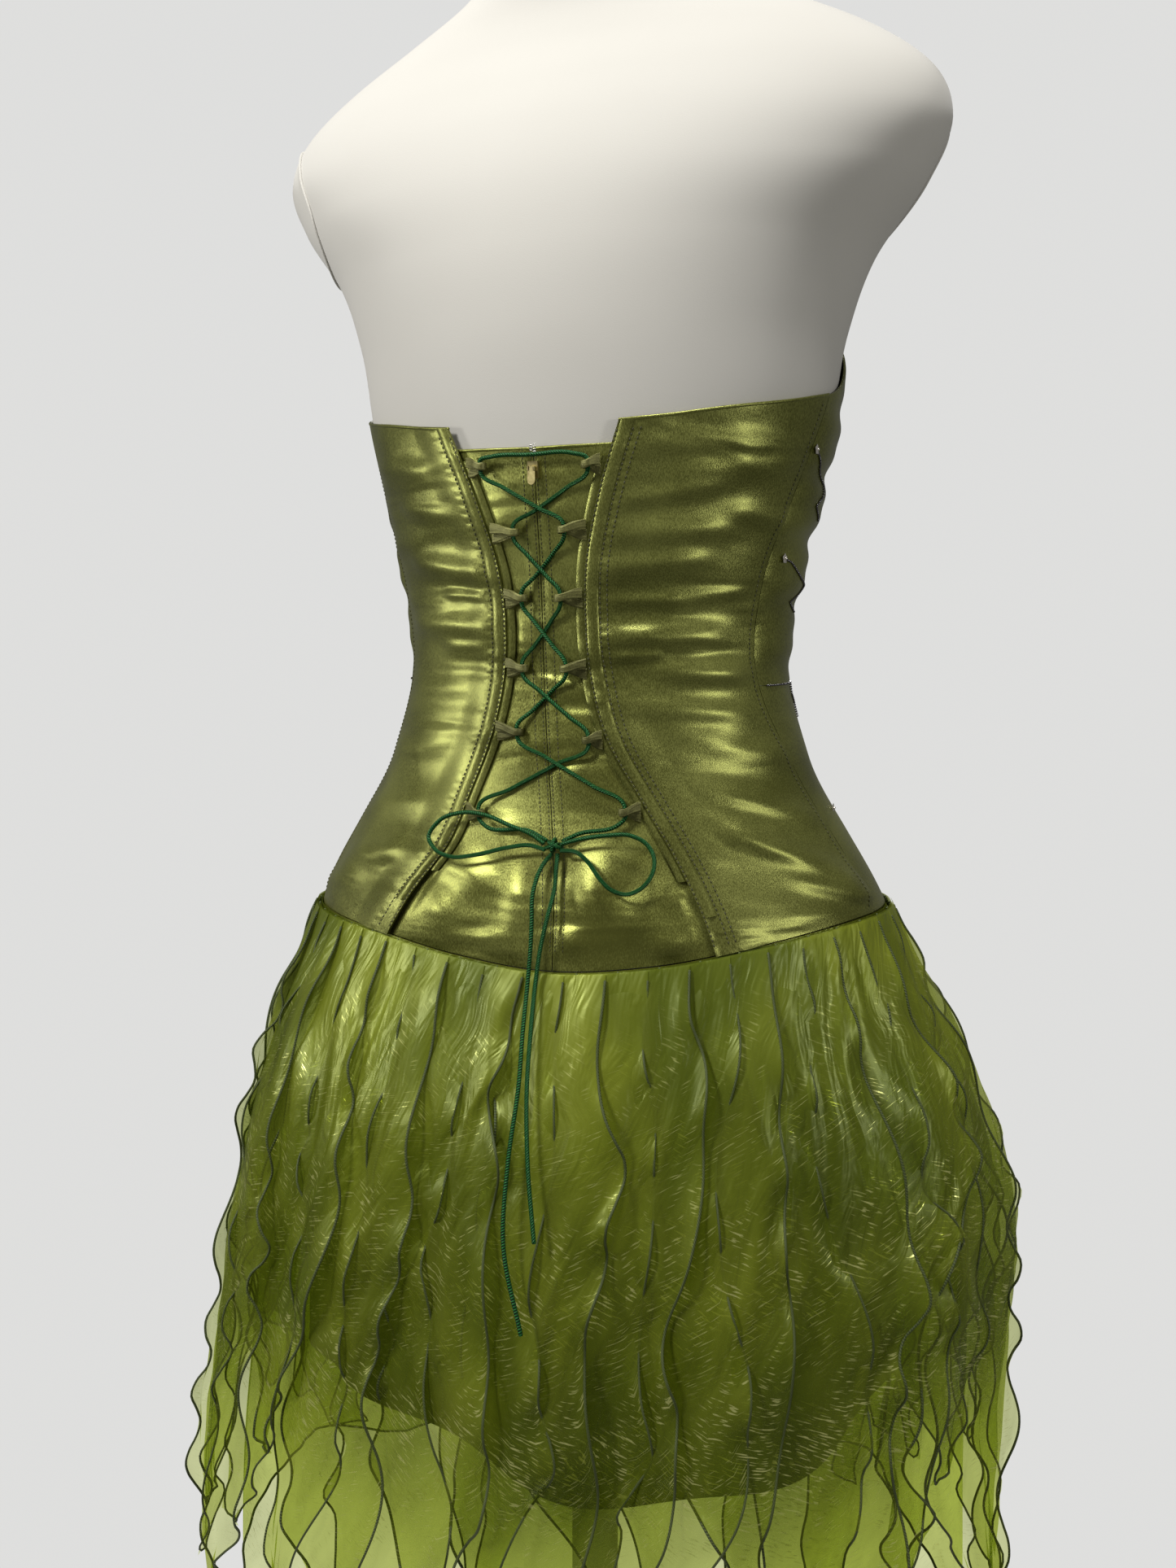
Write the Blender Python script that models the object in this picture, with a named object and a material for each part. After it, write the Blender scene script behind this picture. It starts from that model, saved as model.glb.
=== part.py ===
"""Corset dress with a laced back and a layered organza skirt, on a limbless dress form.

Metres, +Z up, the floor at z = 0 and the stand's pole on the Z axis. The dress looks
towards -Y, so its laced back looks towards +Y and the wearer's right is towards -X.

Cloth is worked out in body coordinates: an angle round the body from the centre back
(positive towards the wearer's right), a height, and a distance out from the form.
"""

import math

import bmesh
import bpy
import numpy as np
from mathutils import Vector

# Driving dimensions, in metres and degrees.
GAP = 0.0003
SATIN = 0.0012
ORGANZA = 0.0010
WAIST_LINE = 1.043
FORM_BOTTOM = 0.70
HIP_EASE = 0.022
FORM_INSET = 0.0009
FORM_FRONT_INSET = 0.0009
FORM_BUST_SHARE = 0.55
FORM_COLUMNS = 24
TURN_TOP = 0.8
TURN_HIP = 5.6
BUST_DEPTH = 0.020
BUST_ANGLE = 148.0
BUST_HEIGHT = 1.195
BASE_RADIUS = 0.175
BASE_THICKNESS = 0.012
POLE_RADIUS = 0.016
FACING_SHOWS = 0.005
FACING_TUCK = 0.007
CHANNEL_WIDTH = 0.008
MODESTY_TUCK = 0.012
MODESTY_TOP_ROW = 0.65
WAIST_ROW = 8
LOWER_ROWS = 7
PANEL_COLUMNS = 8
FRONT_COLUMNS = 21
SEAM_ANGLE = 0.12
LACE_DIAMETER = 0.0025
BAR_HEIGHT = 1.1732
STRIPS = 23
STRIP_OVERLAP = 1.36
STRIP_ROWS = 13
SATIN_LENGTH = 0.312
UNDER_LENGTH = 0.455
SKIRT_GAP = 0.0008
SKIRT_COLUMNS = 42

# The form's level sections: height, half width, front depth, back depth.
FORM_SECTIONS = (
    (0.700, 0.150, 0.095, 0.100),
    (0.780, 0.165, 0.104, 0.108),
    (0.850, 0.172, 0.106, 0.109),
    (0.900, 0.169, 0.104, 0.106),
    (0.950, 0.155, 0.100, 0.100),
    (1.000, 0.1355, 0.095, 0.092),
    (1.050, 0.1225, 0.091, 0.086),
    (1.100, 0.1265, 0.098, 0.088),
    (1.150, 0.1375, 0.108, 0.095),
    (1.200, 0.1490, 0.112, 0.102),
    (1.250, 0.1570, 0.107, 0.106),
    (1.290, 0.172, 0.097, 0.105),
    (1.330, 0.201, 0.088, 0.098),
    (1.360, 0.213, 0.078, 0.087),
    (1.385, 0.203, 0.068, 0.075),
    (1.410, 0.170, 0.058, 0.063),
    (1.430, 0.130, 0.052, 0.056),
    (1.450, 0.088, 0.050, 0.053),
    (1.468, 0.066, 0.050, 0.053),
    (1.500, 0.058, 0.051, 0.053),
)

# The bodice's top edge and its seam to the skirt: angle from centre back, height.
TOP_EDGE = ((0, 1.189), (22, 1.191), (45, 1.198), (70, 1.206), (90, 1.216), (110, 1.242))
TOP_EDGE += ((132, 1.264), (150, 1.268), (166, 1.250), (180, 1.234))
SKIRT_SEAM = ((-180, 0.893), (-90, 0.894), (-60, 0.894), (-40, 0.892), (-20, 0.886), (0, 0.8825))
SKIRT_SEAM += ((20, 0.889), (40, 0.900), (60, 0.908), (90, 0.910), (135, 0.902), (180, 0.893))

# Lacing edges: height, distance of the left and of the right edge from the centre back.
LACING_EDGES = (
    (0.870, 0.122, 0.104),
    (0.918, 0.094, 0.086),
    (0.950, 0.067, 0.070),
    (0.980, 0.051, 0.053),
    (1.017, 0.033, 0.035),
    (1.050, 0.024, 0.028),
    (1.080, 0.022, 0.026),
    (1.110, 0.025, 0.027),
    (1.150, 0.037, 0.036),
    (1.200, 0.057, 0.053),
)

# Side seams: height, angle from the centre back.
SIDE_SEAM = ((0.88, 77), (0.95, 76), (0.991, 74), (1.035, 68), (1.073, 65.5))
SIDE_SEAM += ((1.11, 66.5), (1.157, 73), (1.212, 81), (1.25, 86))

# Lacing loops: left tip's distance and height, right tip's distance and height.
LOOP_TIPS = (
    (0.028, 1.1680, 0.029, 1.1670),
    (0.010, 1.1310, 0.014, 1.1320),
    (0.007, 1.0940, 0.010, 1.0940),
    (0.008, 1.0538, 0.012, 1.0538),
    (0.013, 1.0170, 0.023, 1.0135),
    (0.041, 0.9690, 0.041, 0.9735),
)
LOOP_HEIGHT = 0.0050
LOOP_CLOTH = 0.0010
LOOP_UNDER = 0.0042
LOOP_OVER = 0.0094
LACE_UNDER = 0.0030
LACE_OVER = 0.0067
LACE_INSIDE = 0.0030

# Creases of the two back panels: angle and height of the middle, reach round the body,
# half height, tilt in metres per degree, depth. Positive angles are the right panel.
CREASES = (
    (34, 1.072, 20, 0.0075, 0.00005, 0.0022),
    (46, 1.052, 16, 0.0070, -0.00010, 0.0018),
    (30, 1.113, 15, 0.0070, 0.00020, 0.0016),
    (36, 1.131, 17, 0.0080, 0.00015, 0.0015),
    (58, 0.945, 22, 0.0100, -0.00110, 0.0022),
    (-30, 1.112, 18, 0.0075, -0.00025, 0.0017),
    (-34, 1.078, 20, 0.0080, -0.00010, 0.0020),
    (-52, 0.935, 14, 0.0100, 0.00060, 0.0016),
)

# How far the skirt's layers stand out of the seam: drop, satin, under layer, strips,
# depth of the waves, and how far a strip's free edge stands over its tucked one.
SKIRT_FLARE = (
    (0.000, 0.0000, 0.0017, 0.0034, 0.0000, 0.0025),
    (0.030, 0.0020, 0.0075, 0.0130, 0.0012, 0.0052),
    (0.070, 0.0045, 0.0160, 0.0235, 0.0035, 0.0080),
    (0.130, 0.0070, 0.0270, 0.0360, 0.0060, 0.0110),
    (0.200, 0.0090, 0.0350, 0.0450, 0.0080, 0.0140),
    (0.300, 0.0120, 0.0420, 0.0525, 0.0095, 0.0150),
    (0.400, 0.0150, 0.0460, 0.0570, 0.0105, 0.0150),
    (0.520, 0.0180, 0.0480, 0.0600, 0.0110, 0.0150),
)
# Where the organza swings further out: drop, on the wearer's right, on the left.
SIDE_FLARE = (
    (0.000, 0.000, 0.000),
    (0.030, 0.003, 0.002),
    (0.070, 0.012, 0.007),
    (0.130, 0.024, 0.012),
    (0.200, 0.030, 0.014),
    (0.280, 0.020, 0.018),
    (0.360, 0.012, 0.025),
    (0.520, 0.014, 0.028),
)
RIGHT_FLARE_ANGLE = 97.0
LEFT_FLARE_ANGLE = -55.0
FLARE_REACH = 38.0
UNDER_FLARE_SHARE = 0.6
# Waves round the skirt: count, share of the depth, phase.
SKIRT_WAVES = ((11, 0.55, 0.3), (7, 0.30, 1.7), (17, 0.15, 4.0))
SATIN_WAVES = ((8, 0.75, 1.1), (5, 0.25, 2.2))
SATIN_WAVE_DEPTH = 0.0090

# Bow: distance to the wearer's right of centre back, height, distance out of the form.
KNOT = (0.0028, 0.9540, 0.0078)
KNOT_SIZE = (0.0050, 0.0046, 0.0038)
BOW_LEFT = (
    (-0.0090, 0.9596, 0.0105),
    (-0.0213, 0.9641, 0.0120),
    (-0.0357, 0.9691, 0.0130),
    (-0.0535, 0.9688, 0.0130),
    (-0.0667, 0.9633, 0.0130),
    (-0.0745, 0.9534, 0.0130),
    (-0.0699, 0.9467, 0.0130),
    (-0.0598, 0.9438, 0.0130),
    (-0.0426, 0.9464, 0.0120),
    (-0.0238, 0.9516, 0.0115),
    (-0.0100, 0.9536, 0.0105),
)
BOW_RIGHT = (
    (0.0152, 0.9575, 0.0105),
    (0.0240, 0.9597, 0.0115),
    (0.0350, 0.9615, 0.0125),
    (0.0467, 0.9619, 0.0130),
    (0.0553, 0.9577, 0.0130),
    (0.0595, 0.9504, 0.0130),
    (0.0588, 0.9417, 0.0130),
    (0.0538, 0.9343, 0.0130),
    (0.0450, 0.9300, 0.0130),
    (0.0361, 0.9323, 0.0130),
    (0.0300, 0.9378, 0.0125),
    (0.0235, 0.9465, 0.0120),
    (0.0165, 0.9515, 0.0110),
)
# Tails of the lace: height, distance to the right of centre back.
TAIL_LEFT = ((0.9438, -0.0035), (0.9286, -0.0090), (0.9111, -0.0098), (0.8964, -0.0100))
TAIL_LEFT += ((0.8767, -0.0106), (0.8518, -0.0090), (0.8271, -0.0072), (0.7852, -0.0079))
TAIL_LEFT += ((0.7436, -0.0062), (0.6990, 0.0049))
TAIL_RIGHT = ((0.9438, 0.0040), (0.9300, 0.0024), (0.9148, -0.0005), (0.8985, -0.0038))
TAIL_RIGHT += ((0.8792, -0.0060), (0.8522, -0.0045), (0.8273, -0.0028), (0.7865, 0.0022))
TAIL_RIGHT += ((0.7471, 0.0085),)

SLIDER_HEIGHT = 1.1665
SLIDER_SIZE = (0.0062, 0.0020, 0.0095)
PULL_SIZE = (0.0046, 0.0010, 0.0075)
PULL_NECK = (0.0022, 0.0016)


def table(rows, at, column=1):
    """Reads a table's column at these values of its first column, on a smooth curve."""
    rows = np.array(rows, dtype=float)
    xs, ys = rows[:, 0], rows[:, column]
    slopes = np.gradient(ys, xs)
    at = np.clip(np.asarray(at, dtype=float), xs[0], xs[-1])
    low = np.clip(np.searchsorted(xs, at) - 1, 0, len(xs) - 2)
    step = xs[low + 1] - xs[low]
    t = (at - xs[low]) / step
    start = (2 * t**3 - 3 * t**2 + 1) * ys[low] + (t**3 - 2 * t**2 + t) * step * slopes[low]
    end = (3 * t**2 - 2 * t**3) * ys[low + 1] + (t**3 - t**2) * step * slopes[low + 1]
    return start + end


def smooth(t):
    t = np.clip(t, 0.0, 1.0)
    return t * t * (3 - 2 * t)


def wrapped(angle):
    """Size of an angle in degrees, from 0 at the centre back to 180 at the centre front."""
    return np.abs((np.asarray(angle, dtype=float) + 180) % 360 - 180)


def bust(angle, height):
    """How far the cups stand out, at an angle in degrees and a height."""
    across = (wrapped(angle) - BUST_ANGLE) / 24
    up = (height - BUST_HEIGHT) / 0.052
    return BUST_DEPTH * np.exp(-(across**2) - up**2)


def section(angle, height, out):
    """Points at this distance out of the form's level sections, angles in degrees."""
    turn = np.radians(angle)
    width = table(FORM_SECTIONS, height, 1)
    front = table(FORM_SECTIONS, height, 2)
    back = table(FORM_SECTIONS, height, 3)
    depth = np.where(np.cos(turn) > 0, back, front)
    across = np.stack([-np.sin(turn) * depth, np.cos(turn) * width], axis=-1)
    across /= np.linalg.norm(across, axis=-1, keepdims=True)
    flat = np.stack([-width * np.sin(turn), depth * np.cos(turn)], axis=-1)
    flat = flat + across * np.asarray(out)[..., None]
    return np.concatenate([flat, np.broadcast_to(height, turn.shape)[..., None]], axis=-1)


def turned(height):
    """Degrees that the cloth has turned on the form towards the wearer's right."""
    return TURN_TOP + TURN_HIP * smooth((1.075 - height) / 0.17)


def ease(angle, height):
    """How far the bodice stands off the form below the waist, most at the sides."""
    side = 0.42 + 0.58 * np.sin(np.radians(wrapped(angle))) ** 2
    return HIP_EASE * side * smooth((0.995 - height) / 0.115)


def cloth(angle, height, out):
    """Points of the bodice's cloth: angle from the centre-back seam, height, distance out."""
    angle, height, out = np.broadcast_arrays(
        np.asarray(angle, float), np.asarray(height, float), np.asarray(out, float)
    )
    lifted = out + ease(angle, height) + bust(angle, height)
    return section(angle + turned(height), height, lifted)


def angle_at(distance, height):
    """The angle at which cloth lies this far to the right of the centre back."""
    width = table(FORM_SECTIONS, height, 1) + ease(30, height)
    return np.degrees(np.arcsin(np.clip(distance / width, -1, 1)))


def near_back(distance, height, out):
    """Points placed by their distance to the right of the centre back."""
    distance = np.asarray(distance, float)
    return cloth(angle_at(distance, np.asarray(height, float)), height, out)


def crease(angle, height):
    """Outward lift of the back panels' creases: soft ridges with fading ends."""
    lift = np.zeros(np.broadcast(angle, height).shape)
    for middle, level, reach, half, tilt, depth in CREASES:
        along = (angle - middle) / reach
        up = (height - level - tilt * (angle - middle)) / half
        lift += depth * np.exp(-(along**4) - up**2)
    return lift


def material(name, colour, roughness, metallic=0.0):
    made = bpy.data.materials.new(name)
    made.use_nodes = True
    shader = made.node_tree.nodes["Principled BSDF"]
    shader.inputs["Base Color"].default_value = (*colour, 1)
    shader.inputs["Roughness"].default_value = roughness
    shader.inputs["Metallic"].default_value = metallic
    made.diffuse_color = (*colour, 1)
    return made


def add_mesh(name, points, faces, finish):
    """One closed body with its faces pointing out."""
    mesh = bpy.data.meshes.new(name)
    mesh.from_pydata([tuple(p) for p in points], [], faces)
    shape = bmesh.new()
    shape.from_mesh(mesh)
    bmesh.ops.recalc_face_normals(shape, faces=shape.faces)
    if shape.calc_volume(signed=True) < 0:
        bmesh.ops.reverse_faces(shape, faces=shape.faces)
    shape.to_mesh(mesh)
    shape.free()
    mesh.materials.append(finish)
    mesh.shade_smooth()
    mesh.set_sharp_from_angle(angle=math.radians(50))
    made = bpy.data.objects.new(name, mesh)
    bpy.context.collection.objects.link(made)
    return made


def add_wall(name, inner, outer, finish, ring=False):
    """A wall between two grids of points, open at its edges or closed into a ring.

    Both faces are cut into triangles the same way, so that the wall keeps its thickness.
    """
    rows, columns = inner.shape[:2]
    points = np.concatenate([inner.reshape(-1, 3), outer.reshape(-1, 3)])
    far = rows * columns
    last = columns if ring else columns - 1
    faces = []
    for r in range(rows - 1):
        for c in range(last):
            near, beside = r * columns + c, r * columns + (c + 1) % columns
            below, across = near + columns, beside + columns
            for corners in ((near, beside, across), (near, across, below)):
                faces.append(corners)
                faces.append(tuple(far + k for k in reversed(corners)))
    for c in range(last):
        d = (c + 1) % columns
        low = (rows - 1) * columns
        faces.append((c, far + c, far + d, d))
        faces.append((low + d, far + low + d, far + low + c, low + c))
    if not ring:
        for r in range(rows - 1):
            a, b = r * columns, (r + 1) * columns
            faces.append((b, far + b, far + a, a))
            a, b = a + columns - 1, b + columns - 1
            faces.append((a, far + a, far + b, b))
    return add_mesh(name, points, faces, finish)


def add_loft(name, rings, finish):
    """A solid through closed rings of points, with a flat face on each end."""
    count, sides = rings.shape[:2]
    faces = [tuple(range(sides)), tuple((count - 1) * sides + k for k in range(sides))]
    for r in range(count - 1):
        for c in range(sides):
            d = (c + 1) % sides
            faces.append((r * sides + c, r * sides + d, (r + 1) * sides + d, (r + 1) * sides + c))
    return add_mesh(name, rings.reshape(-1, 3), faces, finish)


def turned_profile(name, profile, finish, sides=32):
    """A solid turned about the Z axis from its radius and height pairs."""
    turn = np.radians(np.arange(sides) * 360 / sides)
    rings = [
        np.stack([r * np.cos(turn), r * np.sin(turn), np.full(sides, z)], axis=-1)
        for r, z in profile
    ]
    return add_loft(name, np.array(rings), finish)


def smooth_route(points, spacing, bend_share=0.0):
    """Points on a smooth curve through these points, closer together where it bends."""
    points = np.array(points, dtype=float)
    run = np.cumsum(np.linalg.norm(np.diff(points, axis=0), axis=1))
    rows = np.column_stack([np.concatenate([[0], run]), points])
    at = np.linspace(0, run[-1], 24 * len(points))
    fine = np.stack([table(rows, at, column) for column in (1, 2, 3)], axis=-1)
    steps = np.diff(fine, axis=0)
    sizes = np.linalg.norm(steps, axis=1)
    ways = steps / sizes[:, None]
    bends = np.linalg.norm(np.diff(ways, axis=0, prepend=ways[:1]), axis=1)
    length = np.concatenate([[0], np.cumsum(sizes + bend_share * bends)])
    count = max(3, math.ceil(length[-1] / spacing) + 1)
    at = np.linspace(0, length[-1], count)
    return np.stack([np.interp(at, length, fine[:, k]) for k in range(3)], axis=-1)


def add_cord(name, route, finish, sides_step=1):
    """A tube of the lace's diameter along a route, with filled ends."""
    curve = bpy.data.curves.new(name, "CURVE")
    curve.dimensions = "3D"
    curve.bevel_depth = LACE_DIAMETER / 2
    curve.bevel_resolution = sides_step
    curve.use_fill_caps = True
    spline = curve.splines.new("POLY")
    spline.points.add(len(route) - 1)
    for point, place in zip(spline.points, route):
        point.co = (*place, 1)
    curve.materials.append(finish)
    made = bpy.data.objects.new(name, curve)
    bpy.context.collection.objects.link(made)
    return made


def form_and_stand(cover, metal):
    """The limbless form with its neck cap, pole and round foot."""
    top_rows = [row[0] for row in FORM_SECTIONS if row[0] > 1.28]
    hidden_rows = (FORM_BOTTOM, 0.77, 0.84, 0.90)
    heights = np.concatenate([hidden_rows, np.arange(0.94, 1.27, 0.025), top_rows])
    angle, height = np.meshgrid(np.arange(FORM_COLUMNS) * 360 / FORM_COLUMNS, heights)
    front = smooth((wrapped(angle) - 80) / 40) * smooth((1.27 - height) / 0.05)
    out = FORM_BUST_SHARE * bust(angle, height) - FORM_INSET - FORM_FRONT_INSET * front
    add_loft("form_torso", section(angle, height, out), cover)
    neck = FORM_SECTIONS[-1]
    steps = ((1.0, GAP), (1.0, 0.010), (0.86, 0.016), (0.45, 0.019))
    level = np.array([[neck[0] + lift] * 24 for share, lift in steps])
    turn = np.radians(np.arange(24) * 15)
    rings = [
        np.stack([-neck[1] * share * np.sin(turn), neck[3] * share * np.cos(turn)], axis=-1)
        for share, lift in steps
    ]
    add_loft("form_neck_cap", np.concatenate([rings, level[..., None]], axis=-1), metal)
    thick = BASE_THICKNESS
    pole = [(POLE_RADIUS, thick + 0.012 + GAP), (POLE_RADIUS, FORM_BOTTOM - GAP)]
    turned_profile("stand_pole", pole, metal, 20)
    foot = [(BASE_RADIUS, 0), (BASE_RADIUS, thick * 0.6), (BASE_RADIUS - 0.008, thick)]
    foot += [(0.034, thick + 0.002), (0.026, thick + 0.012)]
    turned_profile("stand_base", foot, metal)


def lacing_edge(side, height):
    """Distance of a lacing edge from the centre back: side is -1 on the left, 1 on the right."""
    return table(LACING_EDGES, height, 1 if side < 0 else 2)


def seam_height(angle):
    return table(SKIRT_SEAM, (np.asarray(angle, float) + 180) % 360 - 180)


def top_height(angle):
    return table(TOP_EDGE, wrapped(angle))


def level(angle, row):
    """Height of a row of the bodice: rows run from the top edge to the waist, then the seam."""
    row = np.asarray(row, float)
    top = top_height(angle) + (WAIST_LINE - top_height(angle)) * row / WAIST_ROW
    low = WAIST_LINE + (seam_height(angle) - WAIST_LINE) * (row - WAIST_ROW) / LOWER_ROWS
    return np.where(row < WAIST_ROW, top, low)


def panel_lift(side, angle, height):
    """The back panel's inner face: over the facing by its edge, down on the form beyond."""
    edge = angle_at(lacing_edge(side, height), height)
    beyond = np.radians(np.abs(angle) - edge) * 0.13
    return 0.0004 + 0.0029 * (1 - smooth((beyond - 0.010) / 0.022)) + crease(angle, height)


def across_from_edge(side, rows, steps):
    """Angles and heights of points that lie these distances beyond a lacing edge."""
    row = np.asarray(rows, float)[:, None]
    step = np.asarray(steps, float)[None, :]
    angle = np.full(np.broadcast(row, step).shape, 20.0)
    for _ in range(8):
        height = level(side * angle, row)
        angle = angle_at(lacing_edge(side, height) + step, height)
    return side * angle, level(side * angle, row)


def panel_grid(side):
    """Angles and heights of a back panel: its edge, the bone channel's width, its side seam."""
    row = np.arange(WAIST_ROW + LOWER_ROWS + 1)[:, None]
    share = np.linspace(0, 1, PANEL_COLUMNS)[None, :]
    angle = np.full((len(row), PANEL_COLUMNS + 1), 40.0)
    for _ in range(8):
        height = level(side * angle, row)
        edge = lacing_edge(side, height[:, :1])
        first = angle_at(edge, height[:, :1])
        second = angle_at(edge + CHANNEL_WIDTH, height[:, :1])
        seam = table(SIDE_SEAM, height[:, -1:]) - SEAM_ANGLE
        angle = np.concatenate([first, second + (seam - second) * share], axis=1)
    return side * angle, level(side * angle, row)


def back_panels(satin, edging):
    """Each back panel with the stitched bone channel along its lacing edge."""
    for side, word in ((-1, "left"), (1, "right")):
        angle, height = panel_grid(side)
        lift = panel_lift(side, angle, height)
        inner = cloth(angle, height, lift)
        outer = cloth(angle, height, lift + SATIN)
        add_wall(f"back_panel_{word}", inner, outer, satin)
        edge, turn, rise = lift[:-1, :2], angle[:-1, :2], height[:-1, :2]
        inner = cloth(turn, rise, edge + SATIN + GAP)
        outer = cloth(turn, rise, edge + SATIN + GAP + 0.0010)
        add_wall(f"bone_channel_{word}", inner, outer, edging)


def modesty_panels(satin):
    """The panel behind the lacing: two halves that meet at the centre-back zip."""
    rows = np.concatenate([[MODESTY_TOP_ROW], np.arange(2, WAIST_ROW + LOWER_ROWS + 1)])
    for side, word in ((-1, "left"), (1, "right")):
        angle = np.full((len(rows), 5), 10.0)
        share = np.array([0, 1 / 3, 2 / 3, 1])[None, :]
        for _ in range(8):
            height = level(side * angle, rows[:, None])
            edge = lacing_edge(side, height)
            inside = 0.0003 + (edge[:, :4] - FACING_SHOWS - 0.0003) * share
            tucked = edge[:, 4:] + MODESTY_TUCK
            angle = angle_at(np.concatenate([inside, tucked], axis=1), height)
        puff = np.array([0.0, 0.9, 1.0, 0.2, 0.0]) * 0.0016
        puff = puff * np.exp(-(((height - 0.925) / 0.020) ** 2))
        inner = cloth(side * angle, height, 0.0004 + puff)
        outer = cloth(side * angle, height, 0.0014 + puff)
        add_wall(f"modesty_panel_{word}", inner, outer, satin)


def loop_facings(satin):
    """The narrow facing that shows inside each lacing edge and carries the loops."""
    rows = np.arange(1, WAIST_ROW + LOWER_ROWS - 1)
    for side, word in ((-1, "left"), (1, "right")):
        turn, height = across_from_edge(side, rows, (-FACING_SHOWS, FACING_TUCK))
        inner = cloth(turn, height, 0.0020)
        outer = cloth(turn, height, 0.0029)
        add_wall(f"loop_facing_{word}", inner, outer, satin)


def front_panels(satin):
    """The draped upper front over the plain lower front, from side seam to side seam."""
    place = np.linspace(-1, 1, FRONT_COLUMNS)[None, :]
    share = 0.55 * place + 0.45 * np.sin(math.pi / 2 * place)
    upper = np.arange(WAIST_ROW + 1.0)
    upper[-1] -= GAP / 2 / 0.02
    lower = np.arange(WAIST_ROW, WAIST_ROW + LOWER_ROWS + 1.0)
    lower[0] += GAP / 2 / 0.02
    for name, rows in (("front_upper_drape", upper), ("front_lower", lower)):
        angle = 180 + 100 * share + 0 * rows[:, None]
        for _ in range(8):
            height = level(angle, rows[:, None])
            reach = 180 - table(SIDE_SEAM, height) - SEAM_ANGLE
            angle = 180 + reach * share
        lift = np.full(height.shape, 0.0004)
        if name == "front_upper_drape":
            wave = np.sin(2 * math.pi * (height - 1.05) / 0.040 + 1.6 * np.cos(3 * share))
            down = rows[:, None] / WAIST_ROW
            lift += 0.0015 * (1 + wave) / 2 * np.sin(math.pi * down) * (1 - share**6)
        add_wall(name, cloth(angle, height, lift), cloth(angle, height, lift + SATIN), satin)


def loop_places():
    """Each loop's side, row and where the lace runs through it."""
    for row, (left, left_height, right, right_height) in enumerate(LOOP_TIPS):
        yield -1, row, left, left_height
        yield 1, row, right, right_height


def lacing_loops(satin):
    """Flat loops of rolled cloth: out over the lace, round it, and back under it."""
    for side, row, tip, height in loop_places():
        level_near = height + np.linspace(-0.006, 0.006, 9)
        base = float(lacing_edge(side, level_near).min()) - GAP - 0.0003
        under, over = LOOP_UNDER, LOOP_OVER
        middle, half = (under + over) / 2, (over - under) / 2
        span = base - tip - half
        run = [(base, under + 0.0014, 0.0026), (base - 0.35 * span, under + 0.0026, 0.0018)]
        run += [(tip + half + 0.18 * span, over - 0.0002, 0.0004)]
        for turn in (90, 50, 0, -50, -90):
            bend = math.radians(turn)
            run.append((tip + half - half * math.cos(bend), middle + half * math.sin(bend), 0.0))
        run += [(tip + half + 0.18 * span, under, -0.0004), (base - 0.35 * span, under, -0.0018)]
        run += [(base, under - 0.0001, -0.0026)]
        route = np.array([near_back(side * d, height + up, out) for d, out, up in run])
        along = np.gradient(route, axis=0)
        tall = np.array([0, 0, 1.0])
        thick = np.cross(along, tall)
        thick /= np.linalg.norm(thick, axis=1, keepdims=True)
        end_pinch = np.array([0.62, 0.8, 1, 1, 1, 1, 1, 1, 1, 0.8, 0.62])[:, None]
        reach = tall * LOOP_HEIGHT / 2 * end_pinch
        half_cloth = thick * LOOP_CLOTH / 2
        corners = (reach + half_cloth, reach - half_cloth, -reach - half_cloth, -reach + half_cloth)
        rings = np.stack([route + corner for corner in corners], axis=1)
        word = "left" if side < 0 else "right"
        add_loft(f"lacing_loop_{word}_{row + 1}", rings, satin)


def lace_through_loops(start_side):
    """Half of the lace: from the middle of the top bar, side to side down to the knot."""
    hold = (LOOP_UNDER + LOOP_OVER) / 2
    route = [(0.0003 * start_side, BAR_HEIGHT, hold)]
    side = start_side
    for row in range(6):
        left, left_height, right, right_height = LOOP_TIPS[row]
        tip, height = (left, left_height) if side < 0 else (right, right_height)
        inside = side * (tip + LACE_INSIDE)
        if row == 0:
            route.append((side * (tip - 0.005), BAR_HEIGHT, hold))
        route.append((inside, height + 0.0034, hold))
        route.append((inside, height - 0.0034, hold))
        if row < 5:
            after = LOOP_TIPS[row + 1]
            far, far_height = (after[0], after[1]) if side > 0 else (after[2], after[3])
            other = (-side * (far + LACE_INSIDE), far_height)
            over = (row % 2 == 0) == (start_side < 0)
            crossing = LACE_OVER if over else LACE_UNDER
            first = np.array([inside, height - 0.0040])
            last = np.array([other[0], other[1] + 0.0040])
            for share in (0.28, 0.5, 0.72):
                out = crossing if share == 0.5 else 0.8 * crossing + 0.2 * hold
                route.append((*(first + (last - first) * share), out))
        side = -side
    side = -side
    away = KNOT_SIZE[0] + GAP + 0.0001
    bend = math.radians(24)
    route.append((inside - side * 0.0035, height - 0.0068, hold))
    route.append((KNOT[0] + side * away * 2.6, KNOT[1] + away * 1.2, 0.0060))
    route.append((KNOT[0] + side * away * math.cos(bend), KNOT[1] + away * math.sin(bend), 0.0060))
    return np.array([near_back(q, z, w) for q, z, w in route])


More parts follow.
